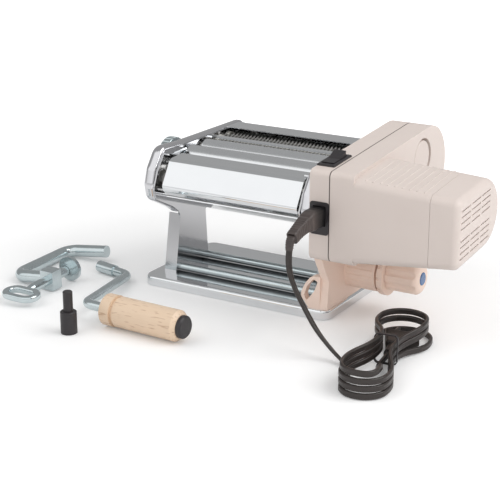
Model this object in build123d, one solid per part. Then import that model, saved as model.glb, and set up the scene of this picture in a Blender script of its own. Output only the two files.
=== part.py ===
from build123d import *
import math
import os

# Electric pasta machine: a table-top roller machine with two pairs of cutters,
# driven by a motor unit on its right side, with its loose parts beside it.
# Millimetres. The origin is the middle of the tray's underside, +X towards the
# motor unit, +Y to the back, +Z up.

os.makedirs("parts", exist_ok=True)

# General sheet, gaps and fits
SEAM = 0.3
FIT = 0.05
LOOSE = 0.4
OVERRUN = 5.0

# Tray
TRAY_WIDTH = 215.0
TRAY_DEPTH = 131.0
TRAY_HEIGHT = 10.0
TRAY_CORNER = 12.0
TRAY_EDGE = 3.0
TRAY_SHEET = 1.2

# Side frames and their covers
BODY_GAP = 163.2
PLATE = 1.6
FRAME_DEPTH = 165.1
FRAME_HEIGHT = 132.8
FRAME_CORNER = 7.0
FLANGE = 12.5
flange_top_share = 0.455
COVER_DEPTH = 13.8
COVER_WALL = 1.0
cover_edge_share = 0.060241
COVER_EDGE = cover_edge_share * FRAME_HEIGHT
COVER_LIP = 3.5
COVER_RIM = 4.6
cover_corner_share = 0.0753012
COVER_CORNER = cover_corner_share * FRAME_HEIGHT
STUB_HOLE = 8.0
frame_outline_shares = [
    (-0.2544, 0.0000), (-0.1938, 0.4322), (-0.2108, 0.4849), (-0.2689, 0.5407),
    (-0.4549, 0.6544), (-0.4767, 0.7455), (-0.4319, 0.8690), (-0.3507, 1.0000),
    (0.5950, 0.9900), (0.5900, 0.8950), (0.4724, 0.7078), (0.2423, 0.5873),
    (0.1454, 0.4744), (0.0969, 0.4066), (0.1272, 0.0000),
]
frame_radius_shares = [0, 1, 1, 1, 1, 1, 1, 0.6, 0.3, 1, 1.4, 1.4, 0.9, 0.9, 0]
cover_outline_shares = [
    (-0.4815, 0.7600), (-0.4500, 0.8880), (-0.3600, 1.0380), (-0.1212, 1.0211),
    (0.6178, 1.0090), (0.6100, 0.8850), (0.4785, 0.7003), (0.2423, 0.5798), (0.0848, 0.4669),
    (-0.1999, 0.4669), (-0.2726, 0.5309), (-0.4603, 0.6476),
]
cover_radius_shares = [1.2, 1.2, 1.4, 20.0, 0.9, 1.2, 1.2, 2.0, 1.2, 1.2, 2.0, 0.9]

# Panels between the frames
PANEL_SHEET = 0.9
PANEL_FOLD_RADIUS = 3.0
PANEL_LEFT = 72.0
PANEL_RIGHT = 80.0
panel_shares = [
    (-0.2544, 0.9676), (-0.3719, 0.9601), (-0.3931, 0.9443), (-0.4761, 0.7733),
    (-0.4603, 0.7327), (-0.4282, 0.6988),
]
lip_shares = [(-0.4282, 0.6988), (-0.3755, 0.6739)]
panel_radius_shares = [1.2, 1.2, 1.4, 1.4]
chute_shares = [(-0.4119, 0.6762), (-0.2726, 0.5873), (-0.1817, 0.5422)]
rear_cover_shares = [
    (0.3634, 1.0068), (0.5200, 1.0068), (0.5680, 0.9639), (0.5680, 0.8886), (0.4543, 0.7229),
]
rear_cover_radius_shares = [1.4, 1.4, 1.4]
rear_guide_shares = [(0.1757, 0.9752), (0.2180, 0.9752)]
rear_guide_sheet_share = 1.6
feed_guide_shares = [(-0.3510, 0.9785), (-0.1600, 0.9785)]
FEED_GUIDE_WIDTH = 5.0

# Tie rods low between the legs, and the screws that hold them
TIE_ROD_RADIUS = 3.75
TIE_ROD_CLEARANCE = 0.75
tie_rod_shares = (-0.2060, 0.0850)
SCREW_HEAD_RADIUS = 2.7
SCREW_HEAD_LENGTH = 2.6
SCREW_SLOT = 1.2

# Smooth rollers, sized by the tighter of the head's depth and height
roller_depth_share = 0.083283
roller_height_share = 0.103539
ROLLER_RADIUS = min(roller_depth_share * FRAME_DEPTH, roller_height_share * FRAME_HEIGHT)
ROLLER_LENGTH = 157.0
ROLLER_GAP_OPEN = 1.8
ROLLER_GAP_CLOSED = 0.2
journal_share = 0.36364
JOURNAL_RADIUS = journal_share * ROLLER_RADIUS
rear_roller_share = (0.0878, 0.8803)
bush_share = 0.58182
BUSH_RADIUS = bush_share * ROLLER_RADIUS
bush_flange_share = 0.69091
BUSH_FLANGE_RADIUS = bush_flange_share * ROLLER_RADIUS
BUSH_FLANGE = 2.0
SLEEVE_WALL = 1.5
eccentric_share = 0.69091
ECCENTRIC_RADIUS = eccentric_share * ROLLER_RADIUS
ECCENTRIC_PLAY = 0.3
eccentric_flange_share = 0.8
ECCENTRIC_FLANGE_RADIUS = eccentric_flange_share * ROLLER_RADIUS
ARM_SHEET = 1.6
stem_share = 0.50909
STEM_RADIUS = stem_share * ROLLER_RADIUS
link_share = 1.27273
LINK_RADIUS = link_share * ROLLER_RADIUS
LINK_ROD_RADIUS = 2.5
LINK_BOSS = 4.0
DIAL_TURN = 80.0
LINK_REST_ANGLE = 55.0
dial_share = 1.45455
DIAL_RADIUS = dial_share * ROLLER_RADIUS
DIAL_LENGTH = 9.8
DIAL_EDGE = 1.5
DIAL_FLUTE_COUNT = 24
DIAL_FLUTE = 1.3
smooth_tip_share = 1.09091
SMOOTH_TIP = smooth_tip_share * ROLLER_RADIUS
smooth_root_share = 0.88727
SMOOTH_ROOT = smooth_root_share * ROLLER_RADIUS
SMOOTH_TEETH = 12
END_GEAR = 4.6

# Cutters: two pairs of interleaved disc shafts, their gears and scraper combs
cutter_share = 0.72727
CUTTER_RADIUS = cutter_share * ROLLER_RADIUS
cutter_core_share = 0.54545
CUTTER_CORE = cutter_core_share * ROLLER_RADIUS
cutter_spacing_share = 1.38182
CUTTER_SPACING = cutter_spacing_share * ROLLER_RADIUS
CUTTER_LENGTH = 151.2
FINE_DISC_COUNT = 36
WIDE_DISC_COUNT = 12
DISC_PLAY = 0.15
cutter_bush_share = 0.54545
CUTTER_BUSH = cutter_bush_share * ROLLER_RADIUS
cutter_flange_share = 0.61818
CUTTER_FLANGE = cutter_flange_share * ROLLER_RADIUS
CUTTER_TEETH = 12
cutter_tip_share = 0.8
CUTTER_TIP = cutter_tip_share * ROLLER_RADIUS
cutter_root_share = 0.56
CUTTER_ROOT = cutter_root_share * ROLLER_RADIUS
STUB_RADIUS = 4.0
STUB_SIDE_COUNT = 6
wide_rear_share = (-0.2090, 0.7681)
fine_front_share = (0.2847, 0.8983)
COMB_SHEET = 2.0
COMB_BAR_HEIGHT = 3.0
COMB_BAR_DEPTH = 6.0
comb_drop_share = 0.90909
COMB_DROP = comb_drop_share * ROLLER_RADIUS
COMB_TIP_GAP = 0.7
comb_tooth_share = 0.6

# Motor unit: a gear case in two halves, a tapering motor housing and its cap
CASE_GAP = 0.4
CASE_INNER = 20.6
CASE_OUTER = 24.2
CASE_WALL = 2.2
CASE_FRONT = 100.5
CASE_TOP = 28.6
CASE_BOTTOM = 59.5
CASE_TOP_RADIUS = 5.5
CASE_BOTTOM_RADIUS = 8.0
CASE_LOBE_RADIUS = 42.0
CASE_LOBE_BACK = 69.5
CASE_LOBE_DROP = 2.4
BARREL_LENGTH = 75.0
CAP_LENGTH = 28.2
CAP_EDGE = 7.0
BARREL_TOP = 25.0
BARREL_BOTTOM = 57.0
BARREL_TOP_FALL = 5.7
BARREL_BOTTOM_RISE = 11.2
BARREL_BACK = 35.0
BARREL_RISE = 4.3
BARREL_CORNER = 8.0

# Rocker switch on the sloped top
SWITCH_X = 8.9
SWITCH_BACK = 32.0
BEZEL_WIDTH = 18.0
BEZEL_LENGTH = 36.0
BEZEL_PROUD = 2.0
BEZEL_SLEEVE = 9.0
BEZEL_WALL = 2.3
ROCKER_WIDTH = 12.4
ROCKER_LENGTH = 26.0
ROCKER_SLOT_PLAY = 0.7
ROCKER_TURN = 20.0
ROCKER_DEPTH = 5.0
ROCKER_END_RISE = 4.6
ROCKER_MID_RISE = 2.2
ROCKER_PIVOT = 0.5
ROCKER_PIN = 1.2
ROCKER_PIN_PROUD = 0.2
rocker_foot_share = 0.7

# Mains inlet and appliance connector
INLET_HEIGHT = 31.6
INLET_DROP = 16.7
INLET_SIDE = 0.9
INLET_PROUD = 1.0
INLET_CORNER = 3.0
INLET_BODY = 20.0
INLET_WALL = 1.2
CONNECTOR_WIDTH = 14.0
CONNECTOR_HEIGHT = 20.0
CONNECTOR_DROP = 14.4
NOSE_INSET = 0.8
CONNECTOR_NOSE = 13.0
CONNECTOR_REACH = 57.0
CONNECTOR_ARC_RADIUS = 4.0
connector_tail_share = 0.72
connector_straight_share = 0.35
BOOT_LENGTH = 16.0
BOOT_RADIUS = 4.2
BOOT_BASE_RADIUS = 5.0
connector_shares = [
    (0.0, 0.0), (0.42, -0.05), (0.80, -0.30), (0.96, -0.62), (0.80, -1.00), (0.60, -0.96),
    (0.0, -1.0),
]
connector_radius_shares = [0.3, 4, 3, 1, 0.8, 2, 0.3]

# End cap slots
SLOT_LENGTH = 20.6
SLOT_HEIGHT = 1.4
SLOT_PITCH = 5.6
SLOT_COLUMN_COUNT = 3
SLOT_COLUMN_PITCH = 23.6
SLOT_ROW_COUNT = 4
SLOT_UPPER = 9.6
SLOT_FRONT = 15.6
SLOT_GROUP_DROP = 28.0

# Release button
BUTTON_BACK = 53.5
BUTTON_UP = 10.1
BUTTON_RADIUS = 18.0
BUTTON_PLAY = 2.5
BUTTON_THICK = 4.4
BUTTON_DEPTH = 8.0
BUTTON_SUNK = 0.6
BUTTON_STROKE = 2.5
BUTTON_STEM = 5.0
BUTTON_STEM_LENGTH = 14.0
BUTTON_DISH = 1.2

# Gears and shafts of the drive
MOTOR_BACK = 51.0
MOTOR_DROP = 15.9
FIRST_MODULE = 0.8
PINION_TEETH = 10
WHEEL_TEETH = 48
LAST_MODULE = 1.25
LAST_PINION_TEETH = 12
OUTPUT_TEETH = 40
SECOND_ANGLE = -121.8
tip_share = 0.92
root_share = 1.15
GEAR_SHAFT = 2.5
OUTPUT_SHAFT = 8.0
OUTPUT_TAIL = 5.0
WHEEL_WIDTH = 5.0
OUTPUT_WIDTH = 10.0
OUTPUT_SIDE = 2.4
PINION_LAP = 0.8
STATOR_RADIUS = 28.5
STATOR_BORE = 17.6
STATOR_LENGTH = 43.0
STATOR_START = 10.0
ARMATURE_RADIUS = 17.0
ROTOR_SHAFT = 4.0
POST_RADIUS = 2.6
POST_CIRCLE = 23.6
POST_COUNT = 4
BRACKET_SHEET = 4.0
BRACKET_GAP = 8.0
BEARING_RADIUS = 9.0
BEARING_WIDTH = 6.0
FAN_RADIUS = 24.0
FAN_HUB = 8.0
FAN_WIDTH = 9.0
FAN_BLADE_COUNT = 9
FAN_BLADE = 1.5
FAN_PLATE = 1.5
FAN_BACK = 6.2
COMMUTATOR_RADIUS = 10.0

# Support foot with its locking knob, sized by the room under the gear case
UNDER_CASE = rear_roller_share[1] * FRAME_HEIGHT - CASE_BOTTOM
FOOT_THICKNESS = 8.0
FOOT_FRONT = 62.0
FOOT_NECK = 59.0
foot_neck_share = 0.50519
FOOT_NECK_HEIGHT = foot_neck_share * UNDER_CASE
FOOT_TOP_FRONT = 76.0
FOOT_BACK = 14.0
FOOT_CORNER = 8.0
FOOT_BACK_TOP = 22.0
STRUT_DEPTH = 8.0
STRUT_SET = 1.0
STRUT_REACH = 20.7
strut_top_share = 0.56616
STRUT_TOP = strut_top_share * UNDER_CASE
STRUT_ROUND = 1.2
strut_outer_shares = [
    (0.0, 1.0), (0.454, 1.0), (0.763, 0.754), (1.0, 0.431), (0.986, 0.300), (0.62, 0.0),
    (0.0, 0.0),
]
strut_radius_shares = [0, 1.0, 1.0, 0.5, 0.5, 0, 0]
strut_window_shares = [
    (0.357, 0.908), (0.116, 0.840), (0.309, 0.523), (0.720, 0.185), (0.830, 0.370),
    (0.696, 0.646),
]
KNOB_Y = -8.0
knob_height_share = 0.5139
KNOB_HEIGHT = knob_height_share * UNDER_CASE
collar_share = 0.34841
COLLAR_RADIUS = collar_share * UNDER_CASE
COLLAR_LENGTH = 32.6
COLLAR_WALL = 3.0
COLLAR_NECK = 3.0
collar_neck_share = 0.26131
COLLAR_NECK_RADIUS = collar_neck_share * UNDER_CASE
COLLAR_RIB_COUNT = 20
COLLAR_RIB = 1.4
ring_share = 0.38325
RING_RADIUS = ring_share * UNDER_CASE
RING_LENGTH = 6.0
RING_NOTCH_COUNT = 12
RING_NOTCH = 3.2
knob_share = 0.28744
KNOB_RADIUS = knob_share * UNDER_CASE
KNOB_LENGTH = 33.0
KNOB_ROUND = 6.0
KNOB_FLUTE_COUNT = 8
KNOB_FLUTE = 4.5
KNOB_FLUTE_OUT = 2.6
KNOB_SPINDLE = 5.0
KNOB_SPINDLE_GAP = 1.0
KNOB_SOCKET = 6.5
KNOB_SOCKET_DEPTH = 3.0
CAP_DOME = 0.9

# Table clamp
CLAMP_ROD = 6.5
CLAMP_ARC_RADIUS = 14.0
CLAMP_X = -228.0
CLAMP_TWIST = 3.0
CLAMP_FAR_Y = -33.0
CLAMP_NEAR_Y = -126.0
CLAMP_ARM = 49.0
CLAMP_ARM_RISE = 5.9
SCREW_DISC = (-178.0, -96.0, 13.2)
SCREW_EYE = (-180.0, -171.0, 8.7)
CLAMP_SCREW = 5.0
BLOCK_WIDTH = 16.0
BLOCK_HEIGHT = 20.0
BLOCK_LENGTH = 14.0
BLOCK_AT = 31.0
BLOCK_LAP = 1.5
DISC_RADIUS = 13.0
DISC_THICK = 4.0
DISC_HUB = 8.0
DISC_HUB_LENGTH = 5.0
DISC_SOCKET = 5.4
SCREW_NECK_AT = 60.0
EYE_AT = 77.0
EYE_LENGTH = 42.0
EYE_WIDTH = 26.0
EYE_BAR = 7.0
EYE_ROUND = 2.5

# Crank and its handle
CRANK_SOCKET = (-168.0, -58.0, 6.2)
CRANK_CORNER = (-125.0, -67.0, 6.4)
CRANK_BACK = 28.0
CRANK_SOCKET_RADIUS = 6.1
CRANK_SOCKET_LENGTH = 24.0
CRANK_SOCKET_DEPTH = 16.0
CRANK_STUB_PLAY = 0.2
CRANK_ROD = 4.8
CRANK_ARC_RADIUS = 12.0
HANDLE_START = (-70.0, -177.0, 15.6)
HANDLE_END = (20.6, -180.0, 15.6)
HANDLE_COLLAR = 11.0
HANDLE_COLLAR_RADIUS = 15.4
HANDLE_GROOVE = 4.0
HANDLE_GROOVE_RADIUS = 12.7
HANDLE_RADIUS = 15.0
HANDLE_CHAMFER = 4.0
HANDLE_CHAMFER_RADIUS = 12.0
HANDLE_PIN_SHORT = 12.0
HANDLE_CAP_RADIUS = 11.0
HANDLE_CAP_LENGTH = 5.0
HANDLE_CAP_EDGE = 1.5

# Adapter, standing on the table
ADAPTER_X = -89.8
ADAPTER_Y = -213.0
ADAPTER_BASE_RADIUS = 7.9
ADAPTER_BASE = 21.8
ADAPTER_STEM_RADIUS = 4.6
ADAPTER_LENGTH = 41.6
ADAPTER_EDGE = 0.8
ADAPTER_BORE = 4.2
ADAPTER_BORE_DEPTH = 15.0

# Mains cord: the free stretch, then the tied hank with its loops, then the plug
CORD_DIAMETER = 6.0
CORD_FLOOR = 3.0
CORD_LAST_RUN = 14.0
ARC_SHARE = 0.45
STRAIGHT_SHARE = 0.999999
HANK_CENTRE = (200.0, -130.0)
HANK_AXIS = (0.991, 0.135)
HANK_COLUMN = 6.8
LEVEL_STEP = 6.8
UPPER_STEP = 7.0
UPPER_FIRST = 17.2
WAIST_LIFT = 1.5
LOWER_LOBE_AT = -60.5
LOWER_LOBE = 21.0
TOP_LOWER_LOBE = 20.0
LAST_SIDE = 14.0
LAST_SIDE_AT = -64.0
UPPER_LOBE_AT = 50.5
UPPER_LOBE = 22.5
FIRST_UPPER_AT = 56.3
FIRST_UPPER_LOBE = 25.0
HANK_LEAD = 7.0
PLUG_AXIS_HEIGHT = 6.85
PLUG_RELIEF_START = 7.0
PLUG_REAR = 22.0
PLUG_FACE = 52.0
PLUG_REAR_WIDTH = 14.0
PLUG_FACE_WIDTH = 35.3
PLUG_THICK = 13.7
PLUG_ROUND = 2.5
PLUG_RELIEF_RADIUS = 4.4
PLUG_RELIEF_BASE = 5.8
PIN_RADIUS = 2.0
PIN_SPACING = 19.0
PIN_LENGTH = 19.0
FINAL_TURN_AT = -20.0
TIE_PLAY = 0.35
TIE_SHEET = 0.9
TIE_WIDTH = 3.0

gear_root_half_share = 0.25
gear_tip_half_share = 0.10

# Places along X, from the inner face of the frame plates outwards
X_IN = BODY_GAP / 2
X_PLATE = X_IN + PLATE
X_COVER = X_PLATE + COVER_DEPTH
X_CASE = X_COVER + CASE_GAP
X_SPLIT = X_CASE + CASE_INNER
X_OUTER = X_SPLIT + SEAM
X_WALL = X_OUTER + CASE_OUTER
X_BARREL = X_WALL + BARREL_LENGTH
X_CAP = X_BARREL + SEAM
X_END = X_CAP + CAP_LENGTH


def on_frame(share):
    """Place on the frame plate, from shares of its depth and height."""
    return (share[0] * FRAME_DEPTH, TRAY_HEIGHT + share[1] * FRAME_HEIGHT)


def slab(face, x0, x1):
    """Solid between two X planes from a face drawn in (Y, Z)."""
    return extrude(Plane.YZ.offset(x0) * face, amount=x1 - x0)


def disc(at, radius, x0, x1):
    return slab(Pos(at[0], at[1]) * Circle(radius), x0, x1)


def ring(at, outer, inner, x0, x1):
    return slab(Pos(at[0], at[1]) * (Circle(outer) - Circle(inner)), x0, x1)


def box(x0, x1, y0, y1, z0, z1):
    return Pos((x0 + x1) / 2, (y0 + y1) / 2, (z0 + z1) / 2) * Box(x1 - x0, y1 - y0, z1 - z0)


def outline(points, radii):
    return make_face(FilletPolyline(*points, radius=radii, close=True))


def belt(circles):
    """Face inside a belt round circles (y, z, r), listed anticlockwise."""
    count = len(circles)
    angles = []
    for index in range(count):
        y0, z0, r0 = circles[index]
        y1, z1, r1 = circles[(index + 1) % count]
        span = math.hypot(y1 - y0, z1 - z0)
        heading = math.atan2(z1 - z0, y1 - y0)
        angles.append(heading - math.pi / 2 + math.asin((r0 - r1) / span))
    edges = []
    for index in range(count):
        y0, z0, r0 = circles[index]
        y1, z1, r1 = circles[(index + 1) % count]
        before = angles[index - 1]
        after = angles[index]
        turn = (after - before) % (2 * math.pi)
        spots = [
            (y0 + r0 * math.cos(before + turn * k / 2), z0 + r0 * math.sin(before + turn * k / 2))
            for k in range(3)
        ]
        edges.append(ThreePointArc(*spots))
        far = (y1 + r1 * math.cos(after), z1 + r1 * math.sin(after))
        edges.append(Line(spots[2], far))
    return make_face(edges)


def offset_line(points, distance):
    """Points of a polyline moved sideways, mitred at its corners."""
    moved = []
    for index, point in enumerate(points):
        normals = []
        for other in (index - 1, index):
            if 0 <= other < len(points) - 1:
                dy = points[other + 1][0] - points[other][0]
                dz = points[other + 1][1] - points[other][1]
                length = math.hypot(dy, dz)
                normals.append((-dz / length, dy / length))
        ny = sum(n[0] for n in normals) / len(normals)
        nz = sum(n[1] for n in normals) / len(normals)
        scale = distance / (ny * ny + nz * nz)
        moved.append((point[0] + ny * scale, point[1] + nz * scale))
    return moved


def bent_sheet(points, sheet, radii, x0, x1):
    """Sheet bent along a line in (Y, Z), with rounded bends."""
    sides = []
    for sign in (1, -1):
        side_radii = []
        for index, radius in enumerate(radii):
            a, b, c = points[index:index + 3]
            cross = (b[0] - a[0]) * (c[1] - b[1]) - (b[1] - a[1]) * (c[0] - b[0])
            inner = 1 if cross > 0 else -1
            side_radii.append(radius - sign * inner * sheet / 2)
        line = offset_line(points, sign * sheet / 2)
        if side_radii:
            sides.append(FilletPolyline(*line, radius=side_radii))
        else:
            sides.append(Line(*line))
    upper, lower = sides
    ends = [Line(upper @ 0, lower @ 0), Line(upper @ 1, lower @ 1)]
    return slab(make_face(upper.edges() + lower.edges() + ends), x0, x1)


def gear_face(teeth, tip, root, bore, heading):
    """Spur gear with straight-sided teeth, one tooth pointing along heading."""
    step = 2 * math.pi / teeth
    root_half = step * gear_root_half_share
    tip_half = step * gear_tip_half_share
    points = []
    for tooth in range(teeth):
        middle = heading + tooth * step
        for radius, angle in (
            (root, middle - root_half), (tip, middle - tip_half),
            (tip, middle + tip_half), (root, middle + root_half),
        ):
            points.append((radius * math.cos(angle), radius * math.sin(angle)))
    face = make_face(Polyline(*points, close=True))
    if bore:
        face = face - Circle(bore)
    return face


def gear(at, teeth, tip, root, bore, heading, x0, x1):
    return slab(Pos(at[0], at[1]) * gear_face(teeth, tip, root, bore, heading), x0, x1)


def heading_to(a, b):
    return math.atan2(b[1] - a[1], b[0] - a[0])


def turned(points):
    """Solid turned about the X axis from a profile in (x, radius)."""
    return revolve(make_face(Polyline(*points, close=True)), axis=Axis.X)


def circles_meet(a, ra, b, rb, side):
    """Point at distance ra from a and rb from b, on the chosen side."""
    span = math.hypot(b[0] - a[0], b[1] - a[1])
    along = (ra * ra - rb * rb + span * span) / (2 * span)
    across = math.sqrt(ra * ra - along * along) * side
    uy = (b[0] - a[0]) / span
    uz = (b[1] - a[1]) / span
    return (a[0] + along * uy - across * uz, a[1] + along * uz + across * uy)


def mirrored(shape):
    return mirror(shape, about=Plane.YZ)


def unit(vector):
    length = math.sqrt(sum(c * c for c in vector))
    return tuple(c / length for c in vector)


parts = {}

# Axes of rollers, cutters and the gear train
ROLLER_SPAN = 2 * ROLLER_RADIUS + ROLLER_GAP_OPEN
ROLLER_TRAVEL = ROLLER_GAP_OPEN - ROLLER_GAP_CLOSED
rear_axis = on_frame(rear_roller_share)
front_axis = (rear_axis[0] - ROLLER_SPAN, rear_axis[1])
half_turn = math.radians(DIAL_TURN / 2)
THROW = ROLLER_TRAVEL / (2 * math.sin(half_turn))
dial_axis = (
    front_axis[0] + ROLLER_TRAVEL / 2,
    front_axis[1] - THROW * (1 + math.cos(half_turn)) / 2,
)
wide_rear = on_frame(wide_rear_share)
wide_front = (wide_rear[0] - CUTTER_SPACING, wide_rear[1])
fine_front = on_frame(fine_front_share)
fine_rear = (fine_front[0] + CUTTER_SPACING, fine_front[1])
motor_axis = (rear_axis[0] - MOTOR_BACK, rear_axis[1] - MOTOR_DROP)
WHEEL_REACH = FIRST_MODULE * (PINION_TEETH + WHEEL_TEETH) / 2
LAST_REACH = LAST_MODULE * (LAST_PINION_TEETH + OUTPUT_TEETH) / 2
second_angle = math.radians(SECOND_ANGLE)
second_axis = (
    rear_axis[0] + LAST_REACH * math.cos(second_angle),
    rear_axis[1] + LAST_REACH * math.sin(second_angle),
)
first_axis = circles_meet(motor_axis, WHEEL_REACH, second_axis, WHEEL_REACH, 1)

# Base tray: a pressed sheet, open below, standing on its rim
tray_face = RectangleRounded(TRAY_WIDTH, TRAY_DEPTH, TRAY_CORNER)
tray = extrude(tray_face, amount=TRAY_HEIGHT)
tray = fillet(tray.faces().sort_by(Axis.Z)[-1].edges(), TRAY_EDGE)
hollow_face = RectangleRounded(
    TRAY_WIDTH - 2 * TRAY_SHEET, TRAY_DEPTH - 2 * TRAY_SHEET, TRAY_CORNER - TRAY_SHEET
)
tray_hollow = extrude(hollow_face, amount=TRAY_HEIGHT - TRAY_SHEET)
tray_hollow = fillet(tray_hollow.faces().sort_by(Axis.Z)[-1].edges(), TRAY_EDGE - TRAY_SHEET)
parts["base_tray"] = tray - tray_hollow

# Side frames: leg and head in one plate, leg edge and foot folded outwards
frame_points = [on_frame(share) for share in frame_outline_shares]
frame_radii = [share * FRAME_CORNER for share in frame_radius_shares]
side_frame = slab(outline(frame_points, frame_radii), X_IN, X_PLATE)
leg_front = frame_points[0]
leg_back = frame_points[-1]
flange_end = on_frame((
    frame_outline_shares[0][0]
    + (frame_outline_shares[1][0] - frame_outline_shares[0][0])
    * flange_top_share / frame_outline_shares[1][1],
    flange_top_share,
))
flange = bent_sheet(
    [(leg_front[0] + PLATE / 2, leg_front[1]), (flange_end[0] + PLATE / 2, flange_end[1])],
    PLATE, [], X_IN, X_PLATE + FLANGE,
)
side_frame += flange
side_frame += box(
    X_IN, X_PLATE + FLANGE, leg_front[0], leg_back[0], TRAY_HEIGHT, TRAY_HEIGHT + PLATE
)
side_frame -= disc(rear_axis, BUSH_RADIUS + FIT, X_IN - OVERRUN, X_PLATE + OVERRUN)
side_frame -= disc(dial_axis, ECCENTRIC_RADIUS + FIT, X_IN - OVERRUN, X_PLATE + OVERRUN)
for axis in (wide_front, wide_rear, fine_front, fine_rear):
    side_frame -= disc(axis, CUTTER_BUSH + FIT, X_IN - OVERRUN, X_PLATE + OVERRUN)
floor_cut = box(
    X_IN - OVERRUN, X_COVER + OVERRUN, -TRAY_DEPTH, TRAY_DEPTH, -TRAY_HEIGHT, TRAY_HEIGHT
)
side_frame -= floor_cut
parts["side_frame_right"] = side_frame
parts["side_frame_left"] = mirrored(side_frame)

# Side covers: deep-drawn caps over the heads of the frames
cover_points = [on_frame(share) for share in cover_outline_shares]
cover_radii = [share * COVER_CORNER for share in cover_radius_shares]
cover_face = outline(cover_points, cover_radii)
cover = slab(cover_face, X_PLATE, X_COVER)
cover = fillet(cover.faces().sort_by(Axis.X)[-1].edges(), COVER_EDGE)
cover = fillet(cover.faces().sort_by(Axis.X)[0].edges(), COVER_LIP)
cover_hollow = slab(
    offset(cover_face, amount=-COVER_WALL), X_PLATE + COVER_WALL, X_COVER - COVER_WALL
)
cover_hollow = fillet(
    cover_hollow.faces().sort_by(Axis.X)[-1].edges(), COVER_EDGE - COVER_WALL
)
cover_hollow = fillet(
    cover_hollow.faces().sort_by(Axis.X)[0].edges(), COVER_LIP - COVER_WALL
)
cover_mouth = slab(
    offset(cover_face, amount=-COVER_RIM), X_PLATE - OVERRUN, X_PLATE + COVER_EDGE / 2
)
cover_shell = cover - cover_hollow - cover_mouth
parts["side_cover_right"] = cover_shell - disc(
    rear_axis, OUTPUT_SHAFT + 2 * LOOSE, X_PLATE, X_COVER + OVERRUN
)
left_shell = cover_shell - disc(dial_axis, STEM_RADIUS + SEAM, X_PLATE, X_COVER + OVERRUN)
for axis in (rear_axis, fine_rear, wide_front):
    left_shell -= disc(axis, STUB_HOLE, X_PLATE, X_COVER + OVERRUN)
parts["side_cover_left"] = mirrored(left_shell)

# Panels between the frames
panel_points = [on_frame(share) for share in panel_shares]
lip_points = [on_frame(share) for share in lip_shares]
panel = bent_sheet(
    panel_points, PANEL_SHEET, [s * PANEL_FOLD_RADIUS for s in panel_radius_shares],
    -PANEL_LEFT, PANEL_RIGHT,
)
lip = bent_sheet(lip_points, PANEL_SHEET, [], -X_IN, X_IN)
parts["front_panel"] = panel + lip
chute_points = [on_frame(share) for share in chute_shares]
parts["lower_chute"] = bent_sheet(chute_points, PANEL_SHEET, [PANEL_FOLD_RADIUS], -X_IN, X_IN)
rear_points = [on_frame(share) for share in rear_cover_shares]
parts["rear_cover"] = bent_sheet(
    rear_points, PANEL_SHEET, [s * PANEL_FOLD_RADIUS for s in rear_cover_radius_shares], -X_IN, X_IN
)
guide_points = [on_frame(share) for share in rear_guide_shares]
parts["rear_guide"] = bent_sheet(
    guide_points, PANEL_SHEET * rear_guide_sheet_share, [], -X_IN, X_IN
)
feed_points = [on_frame(share) for share in feed_guide_shares]
feed_right = bent_sheet(
    feed_points, PANEL_SHEET * rear_guide_sheet_share, [], X_IN - FEED_GUIDE_WIDTH, X_IN
)
parts["feed_guides"] = Compound([feed_right, mirrored(feed_right)])

# Tie rods low between the legs, with a slotted screw outside each end
rod_z = TRAY_HEIGHT + TIE_ROD_CLEARANCE + TIE_ROD_RADIUS
rods = []
screws = []
for share in tie_rod_shares:
    spot = (share * FRAME_DEPTH, rod_z)
    rods.append(disc(spot, TIE_ROD_RADIUS, -X_IN, X_IN))
    head = disc(spot, SCREW_HEAD_RADIUS, X_PLATE, X_PLATE + SCREW_HEAD_LENGTH)
    head -= box(
        X_PLATE + SCREW_HEAD_LENGTH - SCREW_SLOT, X_PLATE + SCREW_HEAD_LENGTH + OVERRUN,
        spot[0] - SCREW_SLOT / 2, spot[0] + SCREW_SLOT / 2, 0, TRAY_DEPTH,
    )
    head -= floor_cut
    screws += [head, mirrored(head)]
parts["tie_rods"] = Compound(rods)
parts["frame_screws"] = Compound(screws)

# Smooth rollers on their journals; the rear one runs on to the drive shaft
X_GEAR = X_PLATE + 3 * LOOSE
X_GEAR_END = X_GEAR + END_GEAR
X_STUB = X_PLATE + 2 * LOOSE
X_SHAFT = X_COVER - COVER_WALL
half_roller = ROLLER_LENGTH / 2
stub_face = RegularPolygon(STUB_RADIUS, STUB_SIDE_COUNT)


def stub(axis):
    """Hexagonal shaft end that the crank's socket slips over, on the left."""
    return slab(Pos(axis[0], axis[1]) * stub_face, -X_COVER, -X_STUB)


roller_rear = disc(rear_axis, ROLLER_RADIUS, -half_roller, half_roller)
roller_rear += disc(rear_axis, JOURNAL_RADIUS, -X_STUB, X_SHAFT)
roller_rear += stub(rear_axis)
parts["smooth_roller_rear"] = roller_rear
roller_front = disc(front_axis, ROLLER_RADIUS, -half_roller, half_roller)
roller_front += disc(front_axis, JOURNAL_RADIUS, -X_STUB, X_SHAFT - LOOSE)
parts["smooth_roller_front"] = roller_front
smooth_heading = heading_to(rear_axis, front_axis)
smooth_step = math.pi / SMOOTH_TEETH
parts["smooth_gear_rear"] = gear(
    rear_axis, SMOOTH_TEETH, SMOOTH_TIP, SMOOTH_ROOT, JOURNAL_RADIUS + FIT,
    smooth_heading, X_GEAR, X_GEAR_END,
)
parts["smooth_gear_front"] = gear(
    front_axis, SMOOTH_TEETH, SMOOTH_TIP, SMOOTH_ROOT, JOURNAL_RADIUS + FIT,
    smooth_heading + math.pi + smooth_step, X_GEAR, X_GEAR_END,
)


def flanged_bush(axis, radius, flange_radius):
    bush = ring(axis, radius, JOURNAL_RADIUS + FIT, X_IN, X_PLATE)
    bush += ring(axis, flange_radius, JOURNAL_RADIUS + FIT, X_IN - BUSH_FLANGE, X_IN)
    return bush


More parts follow.
